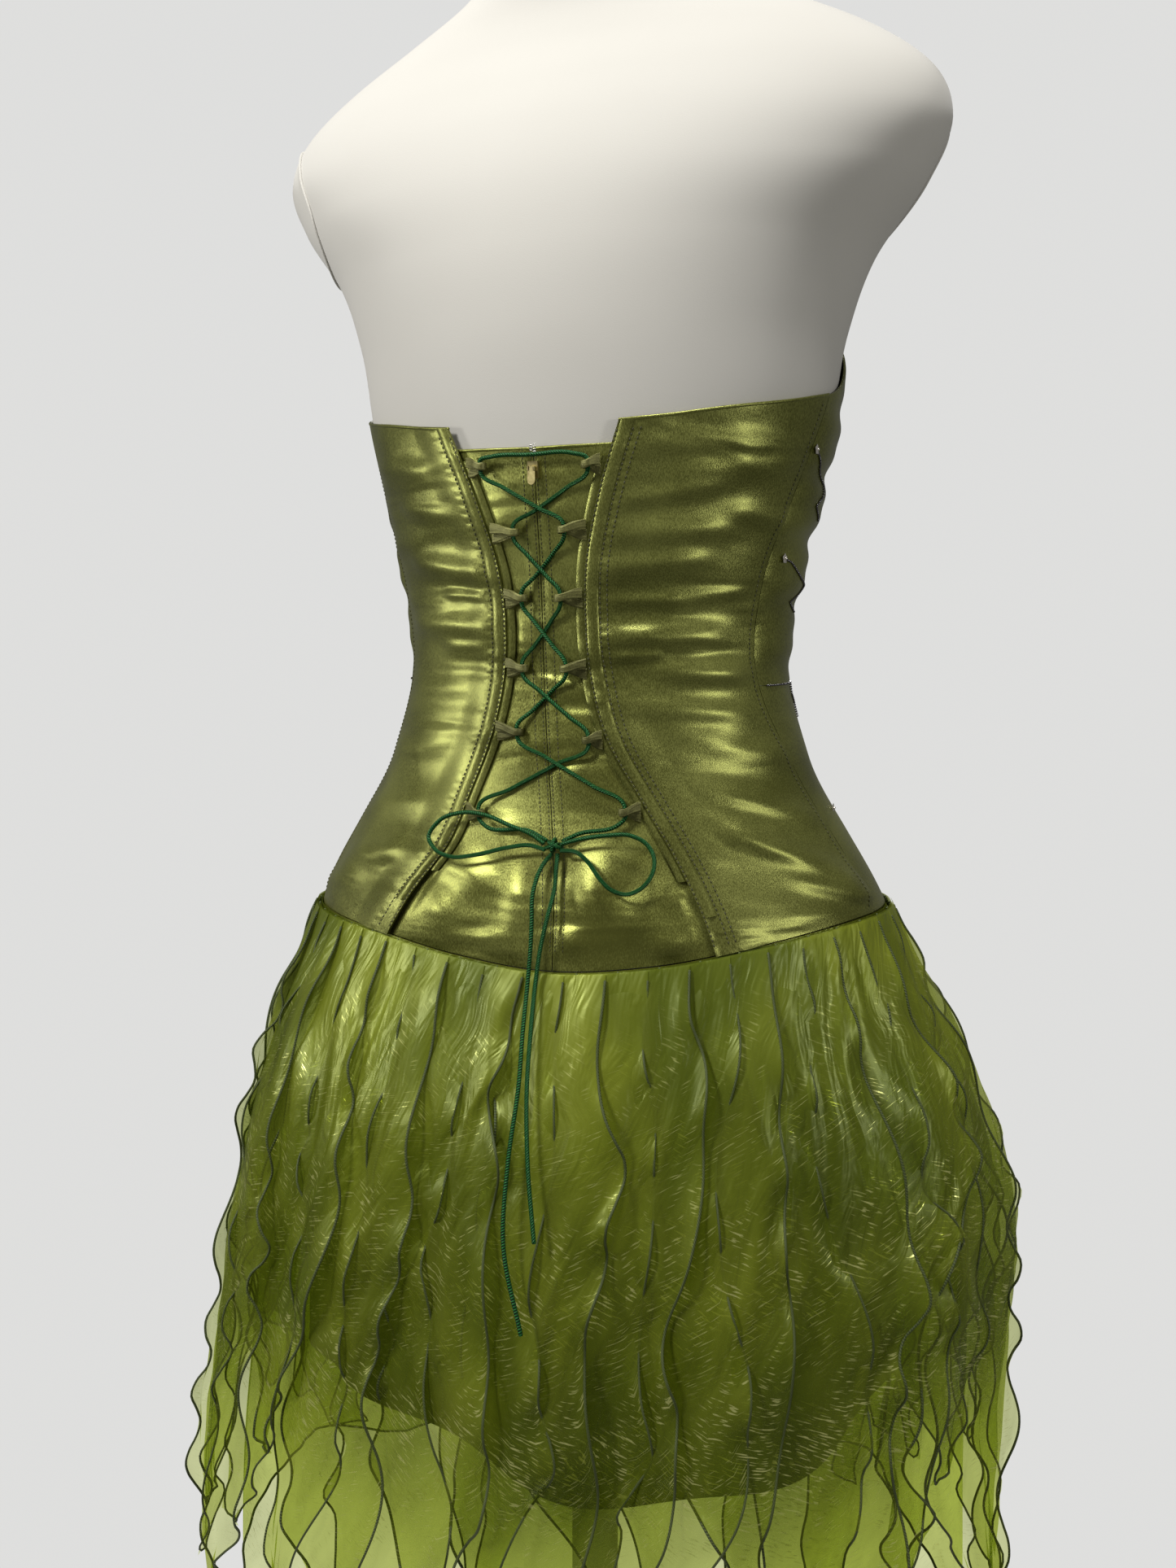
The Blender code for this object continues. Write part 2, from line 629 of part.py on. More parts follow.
def tail_route(tail, knot_side):
    """A tail of the lace: out of the knot, then down over the outside of the skirt."""
    away = KNOT_SIZE[0] + GAP + 0.0001
    bend = math.radians(-90 - 20 * knot_side)
    start = (KNOT[0] + away * math.cos(bend), KNOT[1] + away * math.sin(bend), 0.0066)
    points = [near_back(*start)]
    for height, distance in tail:
        seam = float(seam_height(0))
        if height > seam + 0.004:
            points.append(near_back(distance, height, 0.0072 + 0.004 * (height < 0.93)))
            continue
        drop = seam - height
        turn = float(angle_at(distance, seam))
        out = table(SKIRT_FLARE, drop, 3) + table(SKIRT_FLARE, drop, 4) + ORGANZA
        out = out + side_flare(turn, drop)
        out = out + table(SKIRT_FLARE, drop, 5) + LACE_DIAMETER / 2 + 0.0025
        points.append(skirt(np.array(turn), np.array(drop), out))
    return np.array(points)


def lace_and_bow(lace):
    """The lace in two halves, the knot, the bow's loops and the two hanging tails."""
    for word, side in (("left", -1), ("right", 1)):
        route = smooth_route(lace_through_loops(side), 0.0098, 0.009)
        add_cord(f"lace_from_{word}", route, lace)
    for word, points in (("left", BOW_LEFT), ("right", BOW_RIGHT)):
        side = -1 if word == "left" else 1
        away = KNOT_SIZE[0] + GAP + 0.0001
        first, last = (12, -26) if side > 0 else (168, 206)
        ends = [
            (KNOT[0] + away * math.cos(a), KNOT[1] + away * math.sin(a), 0.0098)
            for a in (math.radians(first), math.radians(last))
        ]
        whole = [ends[0], *points, ends[1]]
        route = np.array([near_back(q, z, w) for q, z, w in whole])
        add_cord(f"bow_loop_{word}", smooth_route(route, 0.0062), lace)
    for word, tail in (("left", TAIL_LEFT), ("right", TAIL_RIGHT)):
        side = -1 if word == "left" else 1
        route = smooth_route(tail_route(tail, -side), 3 * LACE_DIAMETER)
        add_cord(f"lace_tail_{word}", route, lace, 2)
    centre = near_back(KNOT[0], KNOT[1], KNOT[2])
    mesh = bpy.data.meshes.new("bow_knot")
    shape = bmesh.new()
    bmesh.ops.create_uvsphere(shape, u_segments=12, v_segments=8, radius=1.0)
    for vertex in shape.verts:
        x, y, z = vertex.co
        place = (x * KNOT_SIZE[0], y * KNOT_SIZE[2], z * KNOT_SIZE[1])
        vertex.co = Vector(place) + Vector(centre)
    shape.to_mesh(mesh)
    shape.free()
    mesh.materials.append(lace)
    mesh.shade_smooth()
    bpy.context.collection.objects.link(bpy.data.objects.new("bow_knot", mesh))


def box(centre, size):
    """Points and faces of a box."""
    points = [
        (centre[0] + size[0] / 2 * i, centre[1] + size[1] / 2 * j, centre[2] + size[2] / 2 * k)
        for i in (-1, 1)
        for j in (-1, 1)
        for k in (-1, 1)
    ]
    faces = [(0, 1, 3, 2), (4, 6, 7, 5), (0, 4, 5, 1), (2, 3, 7, 6), (0, 2, 6, 4), (1, 5, 7, 3)]
    return points, faces


def zip_slider(metal):
    """The zip's slider with two ears, and the pull that hangs plumb between them."""
    width, thick, tall = SLIDER_SIZE
    seat = Vector(near_back(0.0, SLIDER_HEIGHT, 0.0014 + GAP + 0.0002))
    above = Vector(near_back(0.0, SLIDER_HEIGHT + 0.01, 0.0014 + GAP + 0.0002))
    slope = math.atan2(above.y - seat.y, above.z - seat.z)
    neck_width, neck_tall = PULL_NECK
    slider = add_mesh("zip_slider", *box((0, thick / 2, -0.001), (width, thick, tall)), metal)
    slider.location = seat
    slider.rotation_euler = (-slope, 0, 0)
    ear = (0.0010, neck_tall + 0.0014, 0.0022)
    for side in (-1, 1):
        aside = side * (neck_width / 2 + GAP + ear[0] / 2)
        place = (aside, thick + neck_tall / 2 + 0.0002, 0)
        part = add_mesh(f"ear_{side}", *box(place, ear), metal)
        part.parent = slider
        part.hide_render = True
        part.display_type = "WIRE"
        union = slider.modifiers.new("ear", "BOOLEAN")
        union.operation = "UNION"
        union.object = part
    wide, sheet, long = PULL_SIZE
    outline = [(-neck_width / 2, 0.0010), (neck_width / 2, 0.0010)]
    outline += [(neck_width / 2, -neck_tall), (wide / 2, -neck_tall)]
    low = -neck_tall - long + wide / 2
    for step in range(7):
        turn = math.pi * step / 6
        outline.append((wide / 2 * math.cos(turn), low - wide / 2 * math.sin(turn)))
    outline += [(-wide / 2, -neck_tall), (-neck_width / 2, -neck_tall)]
    count = len(outline)
    points = [(x, -sheet / 2, z) for x, z in outline] + [(x, sheet / 2, z) for x, z in outline]
    faces = [tuple(range(count)), tuple(range(2 * count - 1, count - 1, -1))]
    faces += [(k, k + count, (k + 1) % count + count, (k + 1) % count) for k in range(count)]
    pull = add_mesh("zip_pull", points, faces, metal)
    out = thick + neck_tall
    pull.location = seat + Vector((0, out * math.cos(slope), -out * math.sin(slope)))


def skirt(angle, drop, out):
    """Points of the skirt: angle round the seam, drop below it, distance out of the seam."""
    angle, drop, out = np.broadcast_arrays(
        np.asarray(angle, float), np.asarray(drop, float), np.asarray(out, float)
    )
    seam = seam_height(angle)
    place = cloth(angle, seam, out)
    place[..., 2] = seam - drop
    return place


def waves(angle, rows):
    """A sum of waves round the body, between -1 and 1."""
    turn = np.radians(angle)
    return sum(share * np.sin(count * turn + phase) for count, share, phase in rows)


def side_flare(angle, drop):
    """How much further the organza swings out at the wearer's sides."""
    right = np.exp(-((wrapped(angle - RIGHT_FLARE_ANGLE) / FLARE_REACH) ** 2))
    left = np.exp(-((wrapped(angle - LEFT_FLARE_ANGLE) / FLARE_REACH) ** 2))
    return right * table(SIDE_FLARE, drop, 1) + left * table(SIDE_FLARE, drop, 2)


def layer_out(angle, drop, column):
    """How far the under layer or the strips stand out, with the waves both share."""
    share = UNDER_FLARE_SHARE if column == 2 else 1.0
    out = table(SKIRT_FLARE, drop, column) + share * side_flare(angle, drop)
    return out + table(SKIRT_FLARE, drop, 4) * waves(angle + 30 * drop, SKIRT_WAVES)


def satin_skirt(satin):
    """The short satin skirt under the organza, a ring with soft waves at its hem."""
    columns, rows = SKIRT_COLUMNS, 7
    angle, down = np.meshgrid(np.arange(columns) * 360 / columns, np.linspace(0, 1, rows))
    drop = SKIRT_GAP + down**0.9 * (SATIN_LENGTH + 0.012 * np.sin(np.radians(3 * angle)))
    deep = SATIN_WAVE_DEPTH * smooth(drop / SATIN_LENGTH)
    out = 0.0004 + table(SKIRT_FLARE, drop, 1) + deep * waves(angle, SATIN_WAVES)
    out = np.maximum(out, 0.0004)
    add_wall("satin_skirt", skirt(angle, drop, out), skirt(angle, drop, out + 0.0009), satin, True)


def under_layer(organza):
    """The long organza layer between the satin skirt and the strips."""
    columns, rows = SKIRT_COLUMNS, 7
    angle, down = np.meshgrid(np.arange(columns) * 360 / columns, np.linspace(0, 1, rows))
    drop = SKIRT_GAP + down * (UNDER_LENGTH + 0.02 * np.sin(np.radians(5 * angle)))
    out = layer_out(angle, drop, 2)
    inner, outer = skirt(angle, drop, out), skirt(angle, drop, out + ORGANZA)
    add_wall("organza_under_layer", inner, outer, organza, True)


def strip_length(number):
    """Lengths of the strips, uneven round the skirt."""
    return 0.405 + 0.062 * math.sin(2.4 * number + 0.7) + 0.028 * math.sin(5.3 * number)


def organza_strips(organza):
    """Wavy-edged organza strips, each with its left edge tucked under its neighbour."""
    step = 360 / STRIPS
    down = np.linspace(0, 1, STRIP_ROWS)[:, None]
    for number in range(STRIPS):
        middle = number * step
        drop = SKIRT_GAP + down * strip_length(number)
        taper = 1 - 0.78 * smooth((down - 0.66) / 0.34) ** 1.3
        phase = 1.9 * number
        across = np.array([[-0.5, -0.17, 0.17, 0.5]])
        wave = np.sin(2 * math.pi * drop / 0.085 + phase + 3 * across)
        ruffle = 1.3 * wave * across * smooth(drop / 0.05)
        sway = 1.5 * np.sin(9 * drop + phase) * smooth(drop / 0.12)
        angle = middle + sway + across * step * STRIP_OVERLAP * taper + ruffle
        place = (angle - middle) / (step * STRIP_OVERLAP) + 0.5
        out = layer_out(angle, drop, 3) + table(SKIRT_FLARE, drop, 5) * place
        inner, outer = skirt(angle, drop, out), skirt(angle, drop, out + ORGANZA)
        add_wall(f"organza_strip_{number + 1:02d}", inner, outer, organza)


def main():
    for old in list(bpy.data.objects):
        bpy.data.objects.remove(old, do_unlink=True)
    cover = material("form cover", (0.70, 0.68, 0.62), 0.9)
    metal = material("stand metal", (0.10, 0.10, 0.10), 0.35, 1.0)
    zip_metal = material("zip metal", (0.55, 0.40, 0.20), 0.35, 1.0)
    satin = material("olive satin", (0.16, 0.16, 0.04), 0.35)
    edging = material("satin edging", (0.14, 0.14, 0.05), 0.45)
    organza = material("green organza", (0.18, 0.28, 0.03), 0.4)
    lace = material("bottle green lace", (0.005, 0.06, 0.02), 0.4)
    form_and_stand(cover, metal)
    back_panels(satin, edging)
    modesty_panels(satin)
    loop_facings(satin)
    front_panels(satin)
    lacing_loops(satin)
    lace_and_bow(lace)
    zip_slider(zip_metal)
    satin_skirt(satin)
    under_layer(organza)
    organza_strips(organza)


main()
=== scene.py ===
# %% [markdown]
# # A laced corset dress on its form
# The dress is an olive satin bodice, laced up the back over a panel with a zip, on a skirt
# of wavy organza strips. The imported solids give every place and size. Each piece is made
# again here as a fine surface in the same place, because cloth shows its folds, stitches
# and edges at a scale of a few tenths of a millimetre.

import math

import bpy
import numpy as np
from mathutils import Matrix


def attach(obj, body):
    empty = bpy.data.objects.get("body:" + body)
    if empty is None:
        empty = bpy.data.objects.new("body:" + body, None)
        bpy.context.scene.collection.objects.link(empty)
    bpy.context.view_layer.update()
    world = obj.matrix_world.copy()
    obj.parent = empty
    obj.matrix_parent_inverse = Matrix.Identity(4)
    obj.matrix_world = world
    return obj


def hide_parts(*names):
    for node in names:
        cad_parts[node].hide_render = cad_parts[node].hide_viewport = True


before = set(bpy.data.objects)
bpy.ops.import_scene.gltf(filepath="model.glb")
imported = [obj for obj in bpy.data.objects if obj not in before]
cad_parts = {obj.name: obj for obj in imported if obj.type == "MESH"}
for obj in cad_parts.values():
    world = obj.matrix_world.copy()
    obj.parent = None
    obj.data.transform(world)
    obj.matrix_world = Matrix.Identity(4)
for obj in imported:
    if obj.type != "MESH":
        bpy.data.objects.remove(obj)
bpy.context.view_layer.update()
DRESS = "dress_on_form"

# %% [markdown]
# ## The camera
# A photograph fixes where its camera stood. This one was about 0.85 m from the form's axis,
# behind the dress and a little to the wearer's right, at the height of the waist, looking
# slightly down. The lens is stated for the picture's height, so any render width agrees.

# %% Place the camera
lens = bpy.data.cameras.new("photo view")
lens.sensor_fit = "VERTICAL"
lens.sensor_height = 36.0
lens.lens = 30.25
camera = bpy.data.objects.new("photo view", lens)
bpy.context.collection.objects.link(camera)
camera.location = (-0.3138, 0.7900, 1.0870)
camera.rotation_euler = [math.radians(a) for a in (82.5, 0.0, 202.0)]
bpy.context.scene.camera = camera
print("camera at", tuple(camera.location))

# %% [markdown]
# ## Body coordinates
# Cloth on a body is easiest to place by an angle round the body, a height, and a distance
# out from the form. The form is a stack of level sections, each with a half width and two
# depths. A smooth curve reads any table between its rows, as a pattern maker's curve does.

# %% Sections of the form
FORM_SECTIONS = np.array((
    (0.700, 0.150, 0.095, 0.100), (0.780, 0.165, 0.104, 0.108), (0.850, 0.172, 0.106, 0.109),
    (0.900, 0.169, 0.104, 0.106), (0.950, 0.155, 0.100, 0.100), (1.000, 0.1355, 0.095, 0.092),
    (1.050, 0.1225, 0.091, 0.086), (1.100, 0.1265, 0.098, 0.088), (1.150, 0.1375, 0.108, 0.095),
    (1.200, 0.1490, 0.112, 0.102), (1.250, 0.1570, 0.107, 0.106), (1.290, 0.172, 0.097, 0.105),
    (1.330, 0.201, 0.088, 0.098), (1.360, 0.213, 0.078, 0.087), (1.385, 0.203, 0.068, 0.075),
    (1.410, 0.170, 0.058, 0.063), (1.430, 0.130, 0.052, 0.056), (1.450, 0.088, 0.050, 0.053),
    (1.468, 0.066, 0.050, 0.053), (1.500, 0.058, 0.051, 0.053),
))


def table(rows, at, column=1):
    """A table's column at these values of its first column: cubic pieces between the rows,
    each with the slope that its neighbours give."""
    rows = np.array(rows, dtype=float)
    xs, ys = rows[:, 0], rows[:, column]
    slopes = np.gradient(ys, xs)
    at = np.clip(np.asarray(at, dtype=float), xs[0], xs[-1])
    low = np.clip(np.searchsorted(xs, at) - 1, 0, len(xs) - 2)
    step = xs[low + 1] - xs[low]
    t = (at - xs[low]) / step
    start = (2 * t**3 - 3 * t**2 + 1) * ys[low] + (t**3 - 2 * t**2 + t) * step * slopes[low]
    end = (3 * t**2 - 2 * t**3) * ys[low + 1] + (t**3 - t**2) * step * slopes[low + 1]
    return start + end


def smooth(t):
    """Three t squared less two t cubed: an even rise from 0 to 1."""
    t = np.clip(t, 0.0, 1.0)
    return t * t * (3 - 2 * t)


def wrapped(angle):
    """Size of an angle in degrees, from 0 at the centre back to 180 at the centre front."""
    return np.abs((np.asarray(angle, dtype=float) + 180) % 360 - 180)


def section(angle, height, out):
    """A point of an ellipse, half width times sine and depth times cosine of the angle,
    moved out along the ellipse's own normal."""
    turn = np.radians(angle)
    width, front, back = (table(FORM_SECTIONS, height, k) for k in (1, 2, 3))
    depth = np.where(np.cos(turn) > 0, back, front)
    across = np.stack([-np.sin(turn) * depth, np.cos(turn) * width], axis=-1)
    across /= np.linalg.norm(across, axis=-1, keepdims=True)
    flat = np.stack([-width * np.sin(turn), depth * np.cos(turn)], axis=-1)
    flat = flat + across * np.asarray(out)[..., None]
    return np.concatenate([flat, np.broadcast_to(height, turn.shape)[..., None]], axis=-1)


print("half width at the waist:", float(table(FORM_SECTIONS, 1.05)))

# %% The cloth's own coordinates
BUST_DEPTH, BUST_ANGLE, BUST_HEIGHT = 0.020, 148.0, 1.195
TURN_TOP, TURN_HIP, HIP_EASE = 0.8, 5.6, 0.022


def bust(angle, height):
    """Two round cups: a bell curve in angle times a bell curve in height."""
    across = (wrapped(angle) - BUST_ANGLE) / 24
    up = (height - BUST_HEIGHT) / 0.052
    return BUST_DEPTH * np.exp(-(across**2) - up**2)


def ease(angle, height):
    """How far the bodice stands off the form below the waist, most at the sides."""
    side = 0.42 + 0.58 * np.sin(np.radians(wrapped(angle))) ** 2
    return HIP_EASE * side * smooth((0.995 - height) / 0.115)


def cloth(angle, height, out):
    """Points of the bodice, which has turned a few degrees on the form below the waist."""
    angle, height, out = np.broadcast_arrays(
        np.asarray(angle, float), np.asarray(height, float), np.asarray(out, float)
    )
    turned = TURN_TOP + TURN_HIP * smooth((1.075 - height) / 0.17)
    lifted = out + ease(angle, height) + bust(angle, height)
    return section(angle + turned, height, lifted)


def angle_at(distance, height):
    """The angle at which cloth lies this far to the right of the centre back."""
    width = table(FORM_SECTIONS, height, 1) + ease(30, height)
    return np.degrees(np.arcsin(np.clip(distance / width, -1, 1)))


def near_back(distance, height, out):
    """Points placed by their distance to the right of the centre back."""
    distance = np.asarray(distance, float)
    return cloth(angle_at(distance, np.asarray(height, float)), height, out)


print("centre back at the waist:", near_back(0.0, 1.05, 0.0).round(4))

# %% [markdown]
# ## Meshes from grids
# A sheet is a grid of points. Its faces are rows of four point numbers, worked out for the
# whole grid at once. Each corner also keeps how far it is along and across the cloth in
# metres, so that a weave or a sparkle follows the cloth and not the room.

# %% Grids, walls and tubes
def grid_corners(rows, columns, ring=False):
    """Corner numbers of a grid's quads, wound to face out of the body."""
    r = np.arange(rows - 1)[:, None]
    c = np.arange(columns if ring else columns - 1)[None, :]
    d = (c + 1) % columns
    quads = (r * columns + c, (r + 1) * columns + c, (r + 1) * columns + d, r * columns + d)
    return np.stack(np.broadcast_arrays(*quads), axis=-1).reshape(-1, 4)


def grid_measure(points, ring=False):
    """Each quad corner's distance across and along the cloth: running sums of the steps."""
    if ring:
        points = np.concatenate([points, points[:, :1]], axis=1)
    rows, columns = points.shape[:2]
    across = np.linalg.norm(np.diff(points, axis=1, prepend=points[:, :1]), axis=2)
    along = np.linalg.norm(np.diff(points, axis=0, prepend=points[:1]), axis=2)
    uv = np.stack([np.cumsum(across, axis=1), np.cumsum(along, axis=0)], axis=-1)
    return uv.reshape(-1, 2)[grid_corners(rows, columns)]


def put_mesh(name, points, blocks, finish, sharp=50):
    """One mesh object from its points and blocks of faces, each with its corners' UV."""
    mesh = bpy.data.meshes.new(name)
    faces = [face for corners, uv in blocks for face in corners.tolist()]
    mesh.from_pydata(points.reshape(-1, 3).tolist(), [], faces)
    layer = mesh.uv_layers.new(name="UVMap")
    layer.data.foreach_set("uv", np.concatenate([uv.reshape(-1) for corners, uv in blocks]))
    mesh.materials.append(finish)
    mesh.shade_smooth()
    mesh.set_sharp_from_angle(angle=math.radians(sharp))
    made = bpy.data.objects.new(name, mesh)
    bpy.context.collection.objects.link(made)
    return made


def sheet(name, points, finish, ring=False):
    """A single surface of cloth."""
    rows, columns = points.shape[:2]
    return put_mesh(name, points, [(grid_corners(rows, columns, ring), grid_measure(points, ring))], finish)


def wall(name, outer, inner, finish, ring=False):
    """Cloth with its thickness: an outer grid, an inner one and rims round the edges."""
    rows, columns = outer.shape[:2]
    face = grid_corners(rows, columns, ring)
    uv = grid_measure(outer, ring)
    far = rows * columns
    blocks = [(face, uv), (face[:, ::-1] + far, uv[:, ::-1])]
    c = np.arange(columns if ring else columns - 1)
    d = (c + 1) % columns
    low = (rows - 1) * columns
    top = np.stack([c, d, d + far, c + far], axis=-1)
    bottom = np.stack([low + d, low + c, low + c + far, low + d + far], axis=-1)
    rims = [top, bottom]
    if not ring:
        r = np.arange(rows - 1) * columns
        s = r + columns
        rims.append(np.stack([s, r, r + far, s + far], axis=-1))
        r, s = r + columns - 1, s + columns - 1
        rims.append(np.stack([r, s, s + far, r + far], axis=-1))
    blocks += [(rim, np.zeros((len(rim), 4, 2))) for rim in rims]
    return put_mesh(name, np.concatenate([outer.reshape(-1, 3), inner.reshape(-1, 3)]), blocks, finish)


def tube_parts(path, radius, out, sides=8):
    """A circle carried along a path: centre plus radius times cosine and sine of the turn
    on two directions square to the path, one of them as near as possible to `out`. The ends
    close in two smaller rings."""
    path = np.asarray(path, float)
    along = np.gradient(path, axis=0)
    along /= np.linalg.norm(along, axis=1, keepdims=True)
    side = np.cross(along, np.broadcast_to(out, path.shape))
    side /= np.linalg.norm(side, axis=1, keepdims=True)
    lift = np.cross(side, along)
    radius = np.broadcast_to(np.asarray(radius, float), len(path))
    first = [path[0] - along[0] * radius[0] * k for k in (0.55, 0.4)]
    last = [path[-1] + along[-1] * radius[-1] * k for k in (0.4, 0.55)]
    centre = np.concatenate([first, path, last])
    size = np.concatenate([[0.02, 0.72], np.ones(len(path)), [0.72, 0.02]])
    size[2:-2] *= radius
    size[:2] *= radius[0]
    size[-2:] *= radius[-1]
    side = np.concatenate([side[:1], side[:1], side, side[-1:], side[-1:]])
    lift = np.concatenate([lift[:1], lift[:1], lift, lift[-1:], lift[-1:]])
    turn = np.arange(sides) * 2 * math.pi / sides
    points = centre[:, None] + size[:, None, None] * (
        np.cos(turn)[None, :, None] * side[:, None] + np.sin(turn)[None, :, None] * lift[:, None]
    )
    face = grid_corners(len(centre), sides, True)
    return points.reshape(-1, 3), face, grid_measure(points, True)


def put_tubes(name, tubes, finish):
    """Several tubes in one mesh object."""
    points, blocks, count = [], [], 0
    for these, face, uv in tubes:
        points.append(these)
        blocks.append((face + count, uv))
        count += len(these)
    return put_mesh(name, np.concatenate(points), blocks, finish, 80)


def put_pebbles(name, centre, along, out, half, finish, columns=6, petals=0.0):
    """Many small rounds in one mesh: sine and cosine of a polar and a level angle, times
    three half sizes, on directions along, out and square to both."""
    centre, along, out = (np.asarray(v, float) for v in (centre, along, out))
    along = along / np.linalg.norm(along, axis=-1, keepdims=True)
    lift = out - along * (out * along).sum(axis=-1, keepdims=True)
    lift /= np.linalg.norm(lift, axis=-1, keepdims=True)
    side = np.cross(along, lift)
    polar = np.radians([8, 48, 90, 132, 172])[:, None]
    turn = (np.arange(columns) * 2 * math.pi / columns)[None, :]
    reach = np.sin(polar) * (1 + petals * np.cos(5 * turn))
    sizes = np.broadcast_to(np.asarray(half, float), centre.shape)
    up, wide, deep = (sizes[:, k][:, None, None, None] for k in range(3))
    points = centre[:, None, None] + up * (np.cos(polar) + 0 * turn)[..., None] * along[:, None, None]
    points = points + deep * (reach * np.cos(turn))[..., None] * lift[:, None, None]
    points = points + wide * (reach * np.sin(turn))[..., None] * side[:, None, None]
    face, cap = grid_corners(5, columns, True), np.arange(columns)
    first = (np.arange(len(centre)) * 5 * columns)[:, None, None]
    faces = (first + face[None]).reshape(-1, 4)
    caps = (first + np.stack([cap, cap[::-1] + 4 * columns])[None]).reshape(-1, columns)
    blocks = [(block, np.zeros((*block.shape, 2))) for block in (faces, caps)]
    return put_mesh(name, points, blocks, finish, 80)


def row_places(path, pitch):
    """Evenly spaced places along a path, and the directions of the path there."""
    path = np.asarray(path, float)
    run = np.concatenate([[0], np.cumsum(np.linalg.norm(np.diff(path, axis=0), axis=1))])
    at = np.arange(pitch / 2, run[-1], pitch)
    place, ahead = (np.stack([np.interp(x, run, path[:, k]) for k in range(3)], axis=-1)
                    for x in (at, at + 0.0004))
    back = np.stack([np.interp(at - 0.0004, run, path[:, k]) for k in range(3)], axis=-1)
    return place, ahead - back


def stitches(name, paths, finish, size=0.0019, pitch=0.0028, thick=0.00042):
    """Short threads laid end to end along some paths, half sunk in the cloth."""
    rows = [row_places(path, pitch) for path in paths]
    place, along = (np.concatenate([row[k] for row in rows]) for k in (0, 1))
    return put_pebbles(name, place, along, outward(place), (size / 2, thick, thick), finish)


def outward_order(side, *grids):
    """The grids with their columns turned round on the left, so that faces look out."""
    return [grid if side > 0 else grid[:, ::-1] for grid in grids]


def outward(path):
    """Level directions away from the pole."""
    out = np.asarray(path) * (1, 1, 0)
    return out / np.linalg.norm(out, axis=-1, keepdims=True)


def smooth_route(points, spacing):
    """Evenly spaced points on a smooth curve through these points."""
    points = np.array(points, dtype=float)
    run = np.cumsum(np.linalg.norm(np.diff(points, axis=0), axis=1))
    rows = np.column_stack([np.concatenate([[0], run]), points])
    at = np.linspace(0, run[-1], 24 * len(points))
    fine = np.stack([table(rows, at, column) for column in (1, 2, 3)], axis=-1)
    length = np.concatenate([[0], np.cumsum(np.linalg.norm(np.diff(fine, axis=0), axis=1))])
    at = np.linspace(0, length[-1], max(3, math.ceil(length[-1] / spacing) + 1))
    return np.stack([np.interp(at, length, fine[:, k]) for k in range(3)], axis=-1)


def route_length(path):
    return float(np.linalg.norm(np.diff(path, axis=0), axis=1).sum())


def dress(piece, slot, *nodes):
    """Makes a piece move with the dress and stand for these solids."""
    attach(piece, DRESS)
    if nodes:
        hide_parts(*nodes)
    return piece


# %% [markdown]
# ## Shader sums written as Python
# A finish is a small sum: a base colour, plus grain, plus wear. Writing it as an expression
# keeps it readable. The class below wraps a socket, so that `1 - mask` adds the Math node
# itself, and one method adds every other kind of node.

# %% Readings and finishes
class Reading:
    """A node's output that takes part in sums."""

    def __init__(self, finish, socket):
        self.finish, self.socket = finish, socket

    def sum(self, operation, first, second):
        return self.finish.node("ShaderNodeMath", {"operation": operation}, {0: first, 1: second})

    def __add__(self, other):
        return self.sum("ADD", self, other)

    def __radd__(self, other):
        return self.sum("ADD", other, self)

    def __sub__(self, other):
        return self.sum("SUBTRACT", self, other)

    def __rsub__(self, other):
        return self.sum("SUBTRACT", other, self)

    def __mul__(self, other):
        return self.sum("MULTIPLY", self, other)

    def __rmul__(self, other):
        return self.sum("MULTIPLY", other, self)

    def __pow__(self, other):
        return self.sum("POWER", self, other)


class Finish:
    """A material in the making. Constants go straight on the shader's own sockets."""

    def __init__(self, name, **constants):
        self.material = bpy.data.materials.new(name)
        self.material.use_nodes = True
        self.tree = self.material.node_tree
        self.shader = self.tree.nodes["Principled BSDF"]
        for key, value in constants.items():
            self.set(key.replace("_", " "), value)

    def feed(self, socket, value):
        if isinstance(value, Reading):
            self.tree.links.new(value.socket, socket)
        else:
            socket.default_value = value

    def set(self, key, value):
        self.feed(self.shader.inputs[key], value)

    def node(self, kind, settings=None, inputs=None, output=0):
        made = self.tree.nodes.new(kind)
        for key, value in (settings or {}).items():
            if key == "stops":
                ramp = made.color_ramp.elements
                for k, (place, colour) in enumerate(value):
                    stop = ramp[k] if k < 2 else ramp.new(place)
                    stop.position, stop.color = place, colour
            else:
                setattr(made, key, value)
        for key, value in (inputs or {}).items():
            self.feed(made.inputs[key], value)
        return Reading(self, made.outputs[output])

    def place(self, uv=False, scale=(1, 1, 1), turn=(0, 0, 0)):
        """Object coordinates, or the cloth's own measure, stretched by a Mapping node."""
        at = self.node("ShaderNodeTexCoord", output="UV" if uv else "Object")
        return self.node("ShaderNodeMapping", None, {"Vector": at, "Scale": scale, "Rotation": turn})

    def noise(self, place, scale, detail=2.0, rough=0.5, twist=0.0):
        words = {"Vector": place, "Scale": scale, "Detail": detail}
        return self.node("ShaderNodeTexNoise", None, {**words, "Roughness": rough, "Distortion": twist})

    def ramp(self, value, low, high):
        """0 below low, 1 above high, and a smooth rise between."""
        words = {"Value": value, "From Min": low, "From Max": high}
        return self.node("ShaderNodeMapRange", {"interpolation_type": "SMOOTHSTEP"}, words)

    def blend(self, share, first, second):
        """A colour between two colours."""
        return self.node("ShaderNodeMix", {"data_type": "RGBA"}, {0: share, 6: first, 7: second}, 2)

    def bump(self, height, distance, strength=1.0, under=None):
        words = {"Height": height, "Distance": distance, "Strength": strength}
        if under is not None:
            words["Normal"] = under
        return self.node("ShaderNodeBump", None, words)


print("finish maker ready")

